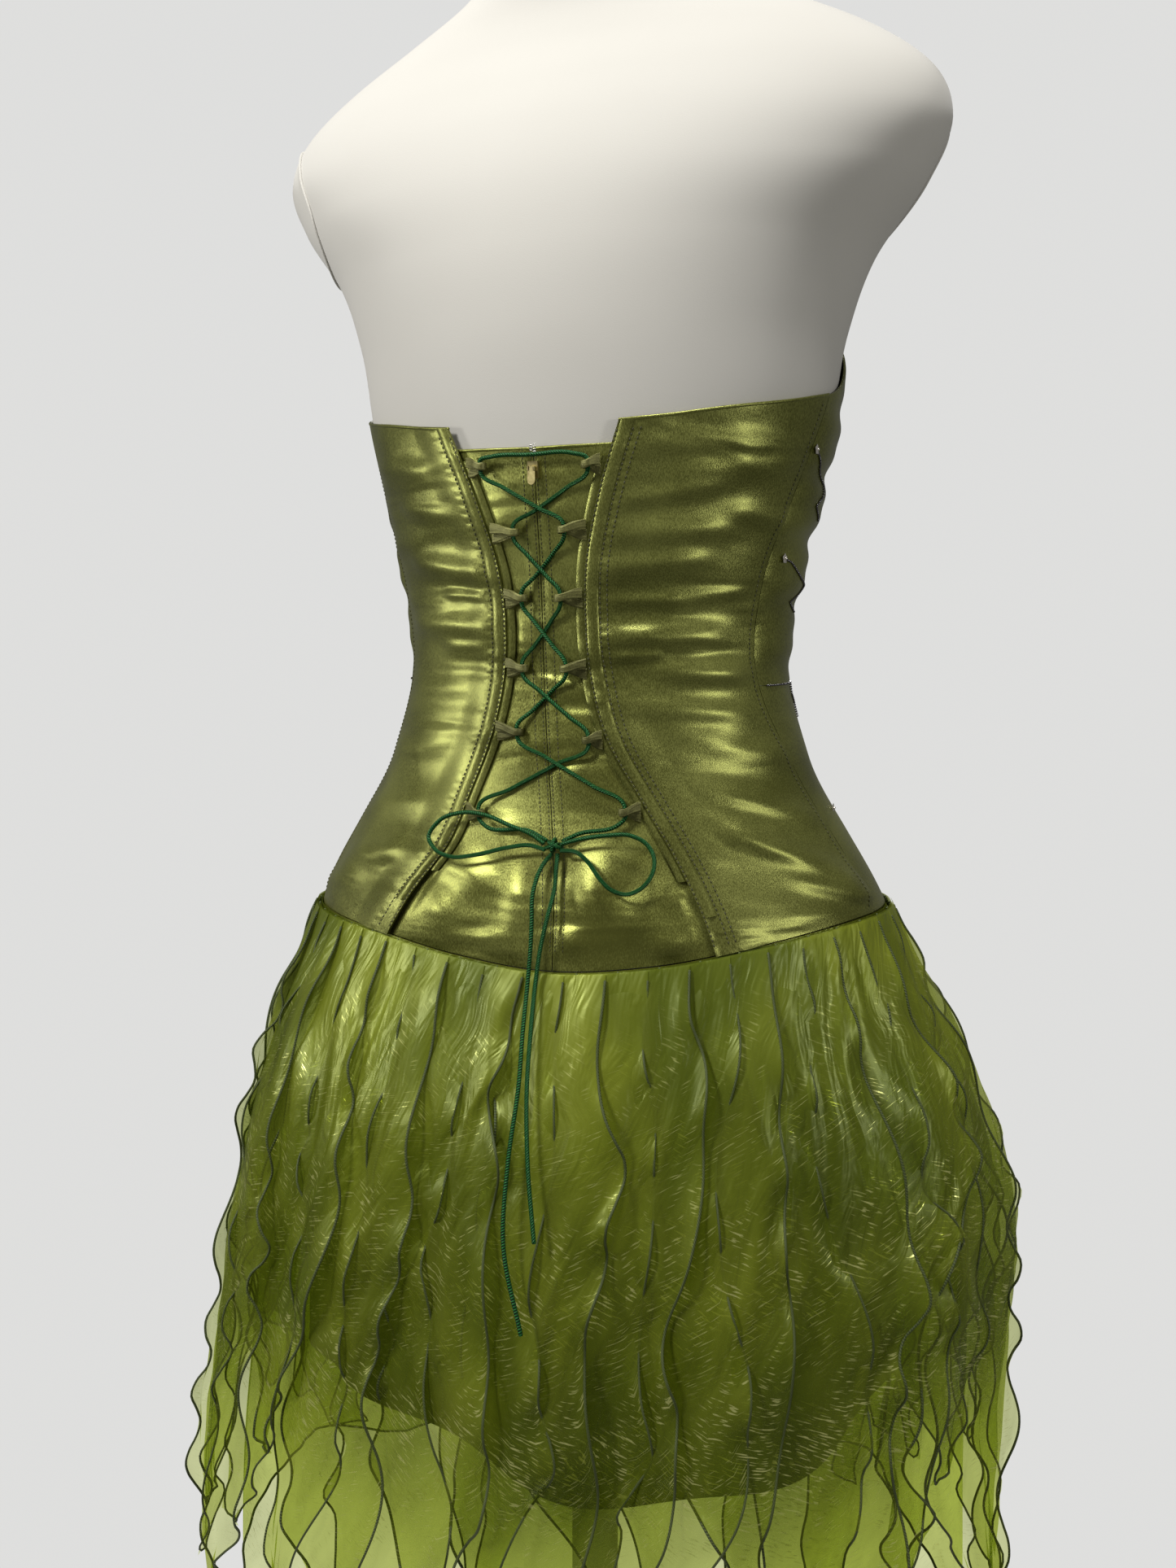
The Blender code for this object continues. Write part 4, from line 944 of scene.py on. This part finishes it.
def loop_shape(route, seed):
    """A flat oval carried along the route: its height swells and pinches, and two shallow
    grooves run along it."""
    path = smooth_route(route, 0.0006)
    along = np.gradient(path, axis=0)
    tall = np.array([0, 0, 1.0])
    thick = np.cross(along, tall)
    thick /= np.linalg.norm(thick, axis=1, keepdims=True)
    run = np.linspace(0, 1, len(path))
    fan = 1.0 - smooth(run / 0.42) * smooth((1 - run) / 0.42)
    pinch = 0.86 + 0.36 * fan + 0.05 * np.sin(2 * math.pi * (3 * run + seed))
    turn = np.arange(28) * 2 * math.pi / 28
    up = np.sign(np.sin(turn)) * np.abs(np.sin(turn)) ** 0.85
    flat = np.sign(np.cos(turn)) * np.abs(np.cos(turn)) ** 0.6
    pleat = 0.62 + 0.38 * np.cos(3.4 * math.pi * (up[None, :] + 0.25 * np.sin(5 * run + 9 * seed)[:, None]))
    across = flat[None, :] * (1 + 0.9 * (pleat - 0.62) * (0.4 + 0.6 * fan[:, None]))
    rings = path[:, None] + (LOOP_HEIGHT / 2 * pinch)[:, None, None] * up[None, :, None] * tall
    return rings + 0.62 * LOOP_CLOTH * across[..., None] * thick[:, None]


for row, (left, left_height, right, right_height) in enumerate(LOOP_TIPS):
    for side, tip, height in ((-1, left, left_height), (1, right, right_height)):
        rings = loop_shape(loop_route(side, tip, height), 0.37 * row + 0.2 * side)
        count, sides = rings.shape[:2]
        ends = [np.arange(sides)[None, :], (np.arange(sides) + (count - 1) * sides)[None, ::-1]]
        blocks = [(grid_corners(count, sides, True), grid_measure(rings, True))]
        blocks += [(end, np.zeros((1, sides, 2))) for end in ends]
        word = "left" if side < 0 else "right"
        loop = put_mesh(f"satin_loop_{word}_{row + 1}", rings, blocks, dull_satin, 70)
        dress(loop, "satin", f"lacing_loop_{word}_{row + 1}")
print("loops:", 2 * len(LOOP_TIPS))

# %% [markdown]
# ## Front of the bodice
# The upper front is draped: the satin is gathered into its side seams, so it falls in soft
# level folds. Below the waist the front is plain. The two meet in a seam under a bead line.

# %% Front panels
def front_grid(rows, columns):
    """Angles and heights from side seam to side seam across the front."""
    place = np.linspace(-1, 1, columns)[None, :]
    share = 0.55 * place + 0.45 * np.sin(math.pi / 2 * place)
    angle = 180 + 100 * share + 0 * rows[:, None]
    for _ in range(10):
        height = level(angle, rows[:, None])
        reach = 180 - table(SIDE_SEAM, height) - SEAM_ANGLE
        angle = 180 + reach * share
    return angle, height, share + 0 * rows[:, None]


def drape(angle, height):
    """How far the gathered cloth stands out: two sines of the height whose phase swings
    across the front, times a sine down the piece, fading at the side seams."""
    share = (angle - 180) / (180 - table(SIDE_SEAM, height) - SEAM_ANGLE)
    down = (top_height(angle) - height) / (top_height(angle) - WAIST_LINE)
    swing = 1.6 * np.cos(3 * share) + 0.9 * np.sin(5 * share + 1)
    wave = np.sin(2 * math.pi * (height - 1.05) / 0.040 + swing)
    wave = 0.7 * wave + 0.3 * np.sin(2 * math.pi * (height - 1.05) / 0.019 + 2 * swing)
    fade = np.sin(math.pi * np.clip(down, 0, 1)) ** 0.6 * (1 - np.abs(share) ** 18)
    return 0.0004 + 0.0025 * (1 + wave) * fade


seam_gap = GAP / 2 / 0.02
for name, node, rows in (
    ("draped_front", "front_upper_drape", np.linspace(0, WAIST_ROW - seam_gap, 100)),
    ("plain_front", "front_lower", np.linspace(WAIST_ROW + seam_gap, 15, 34)),
):
    angle, height, share = front_grid(rows, 150)
    lift = np.full(height.shape, 0.0004)
    if name == "draped_front":
        lift = drape(angle, height)
    piece = wall(name, cloth(angle, height, lift + SATIN), cloth(angle, height, lift), olive_satin)
    dress(piece, "satin", node)
    size = (0.36, 0.21) if name == "draped_front" else (0.38, 0.155)
print("front panels made")

# %% [markdown]
# ## Beads and sequins
# Strings of small dark beads wander over the draped front from flower sequins, and one
# string follows the waist seam. Each bead is a small round on the cloth's surface.

# %% Beads and sequins
jet = Finish("dark beads", Roughness=0.12, IOR=1.6, Coat_Weight=0.6)
jet_tone = jet.noise(jet.place(), 700.0, 1.0, 0.5)
jet.set("Base Color", jet.blend(jet_tone, (0.010, 0.010, 0.012, 1), (0.055, 0.045, 0.050, 1)))
pearl = Finish("silver sequins", Metallic=0.85)
pearl_tone = pearl.noise(pearl.place(), 900.0, 2.0, 0.5)
pearl.set("Base Color", pearl.blend(pearl_tone, (0.50, 0.44, 0.36, 1), (0.85, 0.82, 0.76, 1)))
pearl.set("Roughness", 0.16 + 0.2 * pearl_tone)
STRINGS = (
    ((78.5, 1.179), (82, 1.174), (86, 1.168), (92, 1.161), (91, 1.154), (86.5, 1.148), (93, 1.140)),
    ((73.5, 1.117), (77.5, 1.115), (82, 1.111), (88, 1.106), (96, 1.102), (92, 1.096), (86, 1.092), (94, 1.086)),
    ((97, 1.0425), (95, 1.036), (99, 1.030), (96, 1.022)),
)
FLOWERS = ((78.5, 1.179), (73.5, 1.117), (89.25, 0.967))


def on_front(angle, height, lift):
    """Points on the front's outer surface."""
    drop = np.where(height > WAIST_LINE, drape(angle, height), 0.0004)
    return cloth(angle, height, drop + SATIN + lift)


paths = []
for string in STRINGS:
    angle, height = (np.interp(np.linspace(0, len(string) - 1, 160), np.arange(len(string)), column)
                     for column in np.array(string).T)
    paths.append(on_front(angle, height, 0.0005))
seam_angle = np.linspace(71, 289, 500)
paths.append(cloth(seam_angle, WAIST_LINE + 0 * seam_angle, 0.0004 + SATIN + 0.0005))
place, along = (np.concatenate([row_places(path, 0.00155)[k] for path in paths]) for k in (0, 1))
dress(put_pebbles("bead_strings", place, along, outward(place), (0.0007, 0.0007, 0.0007), jet.material), "satin")
angle, height = np.array(FLOWERS).T
place = on_front(angle, height, 0.0008)
petals = put_pebbles("flower_sequins", place, outward(place), np.array([[0, 0, 1.0]] * 3),
                     (0.0005, 0.0027, 0.0027), pearl.material, 30, 0.16)
dress(petals, "satin")
hearts = put_pebbles("sequin_beads", on_front(angle, height, 0.0014), outward(place),
                     np.array([[0, 0, 1.0]] * 3), (0.0009, 0.0009, 0.0009), pearl.material, 10)
dress(hearts, "satin")
print("beads in strings:", len(along), "sequins:", len(FLOWERS))

# %% [markdown]
# ## Satin underskirt
# A plain satin skirt hangs under the organza. It falls in soft flutes, and its hem is
# overlocked with a darker thread, which shows below through the organza.

# %% Thread finish, underskirt and its hem
thread = Finish("overlock thread", IOR=1.45)
thread_rows = thread.node("ShaderNodeTexWave", {"wave_type": "BANDS", "bands_direction": "Y"},
                          {"Vector": thread.place(True), "Scale": 190.0, "Distortion": 1.2})
thread_mask = thread.ramp(thread_rows, 0.2, 0.8)
thread.set("Base Color", thread.blend(thread_mask, (0.022, 0.030, 0.006, 1), (0.070, 0.090, 0.018, 1)))
thread.set("Roughness", 0.55 + 0.2 * thread_mask)
thread.set("Normal", thread.bump(thread_mask, 0.0003, 0.7))
thread_finish = thread.material

SATIN_LENGTH = 0.312
SATIN_WAVES = ((8, 0.75, 1.1), (5, 0.25, 2.2))
angle, down = np.meshgrid(np.arange(250) * 360 / 250, np.linspace(0, 1, 60))
drop = SKIRT_GAP + down**0.9 * (SATIN_LENGTH + 0.012 * np.sin(np.radians(3 * angle)))
deep = 0.0090 * smooth(drop / SATIN_LENGTH)
out = 0.0004 + table(SKIRT_FLARE, drop, 1) + deep * waves(angle, SATIN_WAVES)
out = np.maximum(out, 0.0004)
outer, inner = skirt(angle, drop, out + 0.0009), skirt(angle, drop, out)
underskirt = wall("satin_underskirt", outer, inner, under_satin, True)
hem_path = (outer[-1] + inner[-1]) / 2
hem_path = np.concatenate([hem_path, hem_path[:1]])
hem = put_tubes("underskirt_hem", [tube_parts(hem_path, 0.0011, outward(hem_path), 8)], thread_finish)
dress(hem, "satin")
dress(underskirt, "satin", "satin_skirt")
print("underskirt hem at", round(float(outer[-1, :, 2].min()), 3))

# %% [markdown]
# ## Crystal organza
# Organza is a stiff sheer weave. One layer tints what is behind it, two or three look solid,
# and its flat threads shine in short streaks that lie across the cloth. The finish mixes a
# tinted clear shader with a cloth one. The streaks are painted glints: a pale yellow highlight
# is painted into the colour along them. They come from a noise that is stretched in the
# cloth's own measure, and only where a second, larger noise allows them.

# %% Organza finish
def leaning(made, lean, across, along):
    """The cloth's own measure, turned by an angle and then stretched each way."""
    at = made.node("ShaderNodeTexCoord", output="UV")
    wide = made.node("ShaderNodeSeparateXYZ", None, {0: at})
    tall = Reading(made, wide.socket.node.outputs[1])
    first = (wide * math.cos(lean) + tall * math.sin(lean)) * across
    second = (tall * math.cos(lean) - wide * math.sin(lean)) * along
    return made.node("ShaderNodeCombineXYZ", None, {0: first, 1: second}), tall


def organza_cloth(name, cover, tint, deep, light):
    made = Finish(name, IOR=1.5)
    place, down = leaning(made, 0.50, 105.0, 900.0)
    streak = made.noise(place, 1.0, 1.0, 0.5)
    place, down = leaning(made, -0.35, 90.0, 1100.0)
    cross = made.noise(place, 1.0, 1.0, 0.5)
    place, down = leaning(made, 0.30, 26.0, 9.0)
    patch = made.noise(place, 1.0, 3.0, 0.6, 0.6)
    # Painted glint: short streaks where a pale yellow highlight is painted into the base colour. The same mask also
    # makes the cloth more metallic, smoother and more opaque there.
    painted_glint = made.ramp(streak, 0.58, 0.68) * made.ramp(patch, 0.48, 0.62)
    painted_glint = painted_glint + made.ramp(cross, 0.60, 0.70) * made.ramp(1 - patch, 0.52, 0.64) * 0.7
    painted_glint = painted_glint * made.ramp(down, 0.005, 0.13)
    broad = made.noise(made.place(scale=(1, 1, 0.5)), 16.0, 2.0, 0.5)
    body = made.blend(made.ramp(broad, 0.3, 0.7), (*deep, 1), (*light, 1))
    # The pale yellow mixed in here is the painted glint colour.
    made.set("Base Color", made.blend(painted_glint, body, (0.92, 0.92, 0.34, 1)))
    made.set("Metallic", 0.25 + 0.6 * painted_glint)
    made.set("Roughness", 0.36 - 0.14 * painted_glint)
    place, along = leaning(made, 0.25, 48.0, 15.0)
    crinkle = made.noise(place, 1.0, 3.0, 0.6, 0.8)
    made.set("Normal", made.bump(crinkle, 0.0030, 0.9))
    clear = made.node("ShaderNodeBsdfTransparent", None, {"Color": (*tint, 1)})
    gathered = 1 - made.ramp(down, 0.0, 0.16)
    low = made.ramp(down, 0.26, 0.40)
    share = cover + 0.22 * gathered - 0.26 * low + 0.34 * painted_glint + 0.62 * (patch - 0.5)
    cloth_shader = Reading(made, made.shader.outputs[0])
    mixed = made.node("ShaderNodeMixShader", None, {0: share, 1: clear, 2: cloth_shader})
    made.tree.links.new(mixed.socket, made.tree.nodes["Material Output"].inputs["Surface"])
    return made.material


strip_organza = organza_cloth("strip organza", 0.40, (0.80, 0.85, 0.46), (0.115, 0.145, 0.008), (0.240, 0.275, 0.022))
layer_organza = organza_cloth("layer organza", 0.32, (0.80, 0.85, 0.46), (0.105, 0.135, 0.008), (0.215, 0.250, 0.020))
bpy.context.scene.cycles.transparent_max_bounces = 32
print("organza finishes:", strip_organza.name, layer_organza.name)

# %% The under layer
angle, down = np.meshgrid(np.arange(320) * 360 / 320, np.linspace(0, 1, 60))
drop = SKIRT_GAP + down * (0.455 + 0.02 * np.sin(np.radians(5 * angle)))
out = layer_out(angle, drop, 2)
gather = 0.0016 * np.sin(np.radians(60 * angle) + 3 * drop) * smooth(drop / 0.04) * (1 - 0.6 * down)
points = skirt(angle, drop, out + ORGANZA / 2 + gather)
under = sheet("organza_layer", points, layer_organza, True)
hem_path = np.concatenate([points[-1], points[-1, :1]])
hem = put_tubes("organza_layer_hem", [tube_parts(hem_path, 0.0009, outward(hem_path), 6)], thread_finish)
dress(hem, "organza")
dress(under, "organza", "organza_under_layer")
print("under layer hem at", round(float(points[-1, :, 2].min()), 3))

# %% [markdown]
# ## Organza strips
# Twenty-three strips hang from the seam, each with its left edge tucked under its
# neighbour. Their long edges are overlocked while stretched, so they wave. A strip is a
# grid, and a dark thread runs round its edge.

# %% Strips
STRIPS, STRIP_OVERLAP, PARTED = 23, 1.36, 4


def strip_length(number):
    return 0.405 + 0.062 * math.sin(2.4 * number + 0.7) + 0.028 * math.sin(5.3 * number)


def strip_points(number, rows=130, columns=26, under=0.0):
    """The strip's grid. Its angle sways and its edges swing from side to side, more towards
    the edges, its end narrows, and its edges also curl out and in. Ruffles may lie under."""
    step = 360 / STRIPS
    middle = number * step
    down = np.linspace(0, 1, rows)[:, None]
    drop = SKIRT_GAP + down * strip_length(number)
    taper = 1 - 0.78 * smooth((down - 0.66) / 0.34) ** 1.3
    phase = 1.9 * number
    across = np.linspace(-0.5, 0.5, columns)[None, :]
    slip = 1.5 * np.sin(2 * math.pi * drop / 0.23 + 1.7 * phase + 5 * across)
    wave = np.sin(2 * math.pi * drop / 0.085 + phase + 3 * across + slip)
    wave = wave * (0.65 + 0.5 * np.sin(2 * math.pi * drop / 0.31 + 2.7 * phase))
    wave = wave + 0.9 * np.sin(2 * math.pi * drop / 0.170 + 0.6 * phase - 5 * across)
    swing = 1.9 + 0.9 * math.sin(2.1 * number)
    ruffle = swing * wave * across * smooth(drop / 0.05)
    sway = (2.4 * np.sin(11 * drop + phase) + 1.6 * np.sin(23 * drop + 3.1 * phase)) * smooth(drop / 0.12)
    if number == PARTED:
        taper = taper * (1 - 0.72 * smooth((drop - 0.13) / 0.06))
    angle = middle + sway + across * step * STRIP_OVERLAP * taper + ruffle
    place = (angle - middle) / (step * STRIP_OVERLAP) + 0.5
    out = layer_out(angle, drop, 3) - under * smooth(drop / 0.04) + table(SKIRT_FLARE, drop, 5) * place
    edge = (2 * np.abs(across)) ** 5 * smooth(drop / 0.06)
    curl = 0.0042 * edge * np.sin(2 * math.pi * drop / 0.060 + 2.3 * phase + 2 * across + slip)
    crease = 0.0011 * np.sin(2 * math.pi * across * 3 + phase + 2 * slip) * smooth(drop / 0.02)
    return skirt(angle, drop, out + ORGANZA / 2 + curl + crease)


for number in range(STRIPS):
    points = strip_points(number)
    strip = sheet(f"strip_{number + 1:02d}", points, strip_organza)
    rim = np.concatenate([points[:, 0], points[-1, 1:-1], points[::-1, -1]])
    rim = smooth_route(rim[::3], 0.0034)
    edge = put_tubes(f"strip_edge_{number + 1:02d}", [tube_parts(rim, 0.0008, outward(rim), 6)], thread_finish)
    dress(edge, "organza")
    dress(strip, "organza", f"organza_strip_{number + 1:02d}")
    size = strip_length(number)

inner_parts, inner_edges, count = [], [], 0
for number in range(STRIPS):
    points = strip_points(number + 0.5, 90, 13, 0.0036)
    inner_parts.append((points.reshape(-1, 3), grid_corners(90, 13), grid_measure(points)))
    rim = smooth_route(np.concatenate([points[:, 0], points[-1, 1:-1], points[::-1, -1]])[::3], 0.0050)
    inner_edges.append(tube_parts(rim, 0.0007, outward(rim), 5))
dress(put_tubes("inner_ruffles", inner_parts, strip_organza), "organza")
dress(put_tubes("inner_ruffle_edges", inner_edges, thread_finish), "organza")
print("strips:", STRIPS, "with as many inner ruffles")

# %% [markdown]
# ## The form and its stand
# The form is padded and covered in ivory jersey. Its arms end in flat plates with a stitched
# rim. The cover is the form's own section surface, drawn in where the front of the bodice
# needs room. The pole and the foot are turned and painted.

# %% Form cover
jersey = Finish("ivory jersey", IOR=1.4, Sheen_Weight=0.15)
knit = jersey.noise(jersey.place(scale=(1, 1, 1.6)), 1300.0, 2.0, 0.6)
cloudy = jersey.noise(jersey.place(), 5.0, 3.0, 0.5)
jersey.set("Base Color", jersey.blend(cloudy, (0.450, 0.430, 0.385, 1), (0.505, 0.487, 0.440, 1)))
jersey.set("Roughness", 0.82 + 0.12 * knit)
jersey.set("Normal", jersey.bump(knit, 0.00010, 0.5))
jersey_finish = jersey.material

heights = np.concatenate([np.linspace(0.70, 0.92, 14), np.linspace(0.93, 1.26, 50), np.linspace(1.265, 1.50, 76)])
angle, height = np.meshgrid(np.arange(144) * 2.5, heights[::-1])
front = smooth((wrapped(angle) - 80) / 40) * smooth((1.27 - height) / 0.05)
out = 0.55 * bust(angle, height) - 0.0009 - 0.0009 * front
points = section(angle, height, out)
count, sides = points.shape[:2]
ends = [np.arange(sides)[None, :], (np.arange(sides) + (count - 1) * sides)[None, ::-1]]
blocks = [(grid_corners(count, sides, True), grid_measure(points, True))]
blocks += [(end, np.zeros((1, sides, 2))) for end in ends]
cover = put_mesh("form_cover", points, blocks, jersey_finish, 60)
dress(cover, "form_cover", "form_torso")
print("form cover points:", points.size // 3)

# %% Arm plate rims
def arm_rim(side):
    """An oval on the form's surface: cosine in height and sine in angle about the arm."""
    turn = np.linspace(0, 2 * math.pi, 120)
    angle = (122 if side > 0 else -80) + 22 * np.sin(turn)
    height = 1.340 + 0.044 * np.cos(turn)
    return section(angle, height, 0.0 * turn - 0.0004)


rims = []
for side in (-1, 1):
    rim = arm_rim(side)
    rims.append(tube_parts(rim, 0.0009, outward(rim), 8))
dress(put_tubes("arm_plate_rims", rims, jersey_finish), "form_cover")
dress(stitches("arm_plate_stitches", [arm_rim(side) for side in (-1, 1)], sewing_finish, 0.0014, 0.0026, 0.0009),
      "form_cover")

# %% Stand
paint = Finish("satin white paint", IOR=1.5, Coat_Weight=0.15)
dust = paint.noise(paint.place(), 60.0, 3.0, 0.6)
paint.set("Base Color", paint.blend(dust, (0.70, 0.69, 0.67, 1), (0.78, 0.77, 0.75, 1)))
paint.set("Roughness", 0.34 + 0.12 * dust)
paint_finish = paint.material


def turned(name, profile, finish, sides=96):
    """A profile of radius and height, turned about the pole. Faces close its two ends."""
    profile = np.array(profile)
    turn = np.arange(sides) * 2 * math.pi / sides
    radius, height = profile[:, 0][:, None], profile[:, 1][:, None]
    points = np.stack(np.broadcast_arrays(radius * np.cos(turn), radius * np.sin(turn), height), axis=-1)
    count = len(profile)
    ends = [np.arange(sides)[None, :], (np.arange(sides) + (count - 1) * sides)[None, ::-1]]
    blocks = [(grid_corners(count, sides, True), grid_measure(points, True))]
    blocks += [(end, np.zeros((1, sides, 2))) for end in ends]
    return put_mesh(name, points, blocks, finish, 40)


foot = [(0.0162, 0.0240), (0.0245, 0.0236), (0.0260, 0.0220), (0.0285, 0.0165), (0.0340, 0.0140),
        (0.0700, 0.0132), (0.1200, 0.0126), (0.1640, 0.0120), (0.1700, 0.0108), (0.1738, 0.0084),
        (0.1750, 0.0060), (0.1750, 0.0015), (0.1738, 0.0000), (0.1500, 0.0000)]
dress(turned("turned_foot", foot, paint_finish), "stand_metal", "stand_base")
pole = [(0.0150, 0.6997), (0.0160, 0.6987), (0.0160, 0.0255), (0.0158, 0.0243)]
dress(turned("turned_pole", pole, paint_finish, 64), "stand_metal", "stand_pole")
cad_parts["form_neck_cap"].data.materials.clear()
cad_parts["form_neck_cap"].data.materials.append(paint_finish)
print("stand made")

# %% [markdown]
# ## Zip
# The zip closes the modesty panel. Its slider and pull are small brass castings, and above
# the slider a few open teeth show.

# %% Zip metal
brass = Finish("antique brass", Metallic=1.0)
tarnish = brass.noise(brass.place(), 500.0, 3.0, 0.6)
brass.set("Base Color", brass.blend(tarnish, (0.33, 0.27, 0.10, 1), (0.66, 0.57, 0.27, 1)))
brass.set("Roughness", 0.28 + 0.25 * tarnish)
brass_finish = brass.material
silver = Finish("zip teeth", Metallic=0.9)
silver_tone = silver.noise(silver.place(), 900.0, 2.0, 0.5)
silver.set("Base Color", silver.blend(silver_tone, (0.35, 0.34, 0.30, 1), (0.75, 0.74, 0.70, 1)))
silver.set("Roughness", 0.22 + 0.2 * silver_tone)
tooth_height = np.arange(1.1735, 1.1790, 0.0013)
for side, word in ((-1, "left"), (1, "right")):
    height = tooth_height + (0.00065 if side > 0 else 0)
    place = near_back(side * 0.0010 + 0 * height, height, 0.0021)
    teeth = put_pebbles(f"zip_teeth_{word}", place, np.cross(outward(place), (0, 0, 1.0)), outward(place),
                        (0.0011, 0.0004, 0.0006), silver.material, 8)
    dress(teeth, "zip_metal")
for node in ("zip_slider", "zip_pull"):
    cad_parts[node].data.materials.clear()
    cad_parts[node].data.materials.append(brass_finish)
print("zip done")

# %% [markdown]
# ## Floor and light
# The studio is a wide pale floor under a pale sky. One large soft lamp stands high on the
# left, a second lights the top, and a weak one fills from the right.

# %% Floor, sky and lamps
floor_paint = Finish("pale floor", Roughness=0.9)
floor_grain = floor_paint.noise(floor_paint.place(), 3.0, 3.0, 0.5)
floor_paint.set("Base Color", floor_paint.blend(floor_grain, (0.80, 0.80, 0.79, 1), (0.83, 0.83, 0.82, 1)))
turn = np.linspace(0, 2 * math.pi, 129)[:-1]
rings = np.array([0.02, 0.47, 0.50])[:, None]
floor_points = np.stack([rings * np.sin(turn), rings * np.cos(turn), 0 * rings * turn - 0.0006], axis=-1)
floor_points[2, :, 2] -= 0.02
blocks = [(grid_corners(3, 128, True), grid_measure(floor_points, True))]
blocks += [(np.arange(128)[None, :], np.zeros((1, 128, 2)))]
floor = put_mesh("floor", floor_points, blocks, floor_paint.material)

sky = bpy.data.worlds.new("studio")
sky.use_nodes = True
nodes, links = sky.node_tree.nodes, sky.node_tree.links
backdrop, fill = nodes["Background"], nodes.new("ShaderNodeBackground")
backdrop.inputs["Color"].default_value = (0.735, 0.735, 0.725, 1)
fill.inputs["Color"].default_value = (0.17, 0.17, 0.165, 1)
seen, mixed = nodes.new("ShaderNodeLightPath"), nodes.new("ShaderNodeMixShader")
links.new(seen.outputs["Is Camera Ray"], mixed.inputs[0])
links.new(fill.outputs[0], mixed.inputs[1])
links.new(backdrop.outputs[0], mixed.inputs[2])
links.new(mixed.outputs[0], nodes["World Output"].inputs["Surface"])
bpy.context.scene.world = sky
bpy.context.scene.view_settings.view_transform = "Standard"


def lamp(name, place, aim, size, power):
    light = bpy.data.lights.new(name, "AREA")
    light.shape, light.size, light.energy = "DISK", size, power
    made = bpy.data.objects.new(name, light)
    bpy.context.collection.objects.link(made)
    made.location = place
    way = np.array(aim, float) - place
    made.rotation_euler = (math.atan2(math.hypot(way[0], way[1]), -way[2]), 0, math.atan2(way[1], way[0]) - math.pi / 2)
    return made


lamp("high left lamp", (0.9, 1.5, 2.3), (0, 0, 1.05), 0.45, 34)
lamp("top lamp", (-0.3, 0.5, 2.8), (0, 0, 1.0), 0.45, 28)
lamp("low left lamp", (1.5, 0.9, 1.2), (0, 0, 0.95), 0.4, 8)
lamp("right fill", (-1.9, 0.9, 1.3), (0, 0, 1.0), 0.4, 9)
lamp("front fill", (0.4, -2.2, 2.2), (0, 0, 1.0), 1.2, 20)
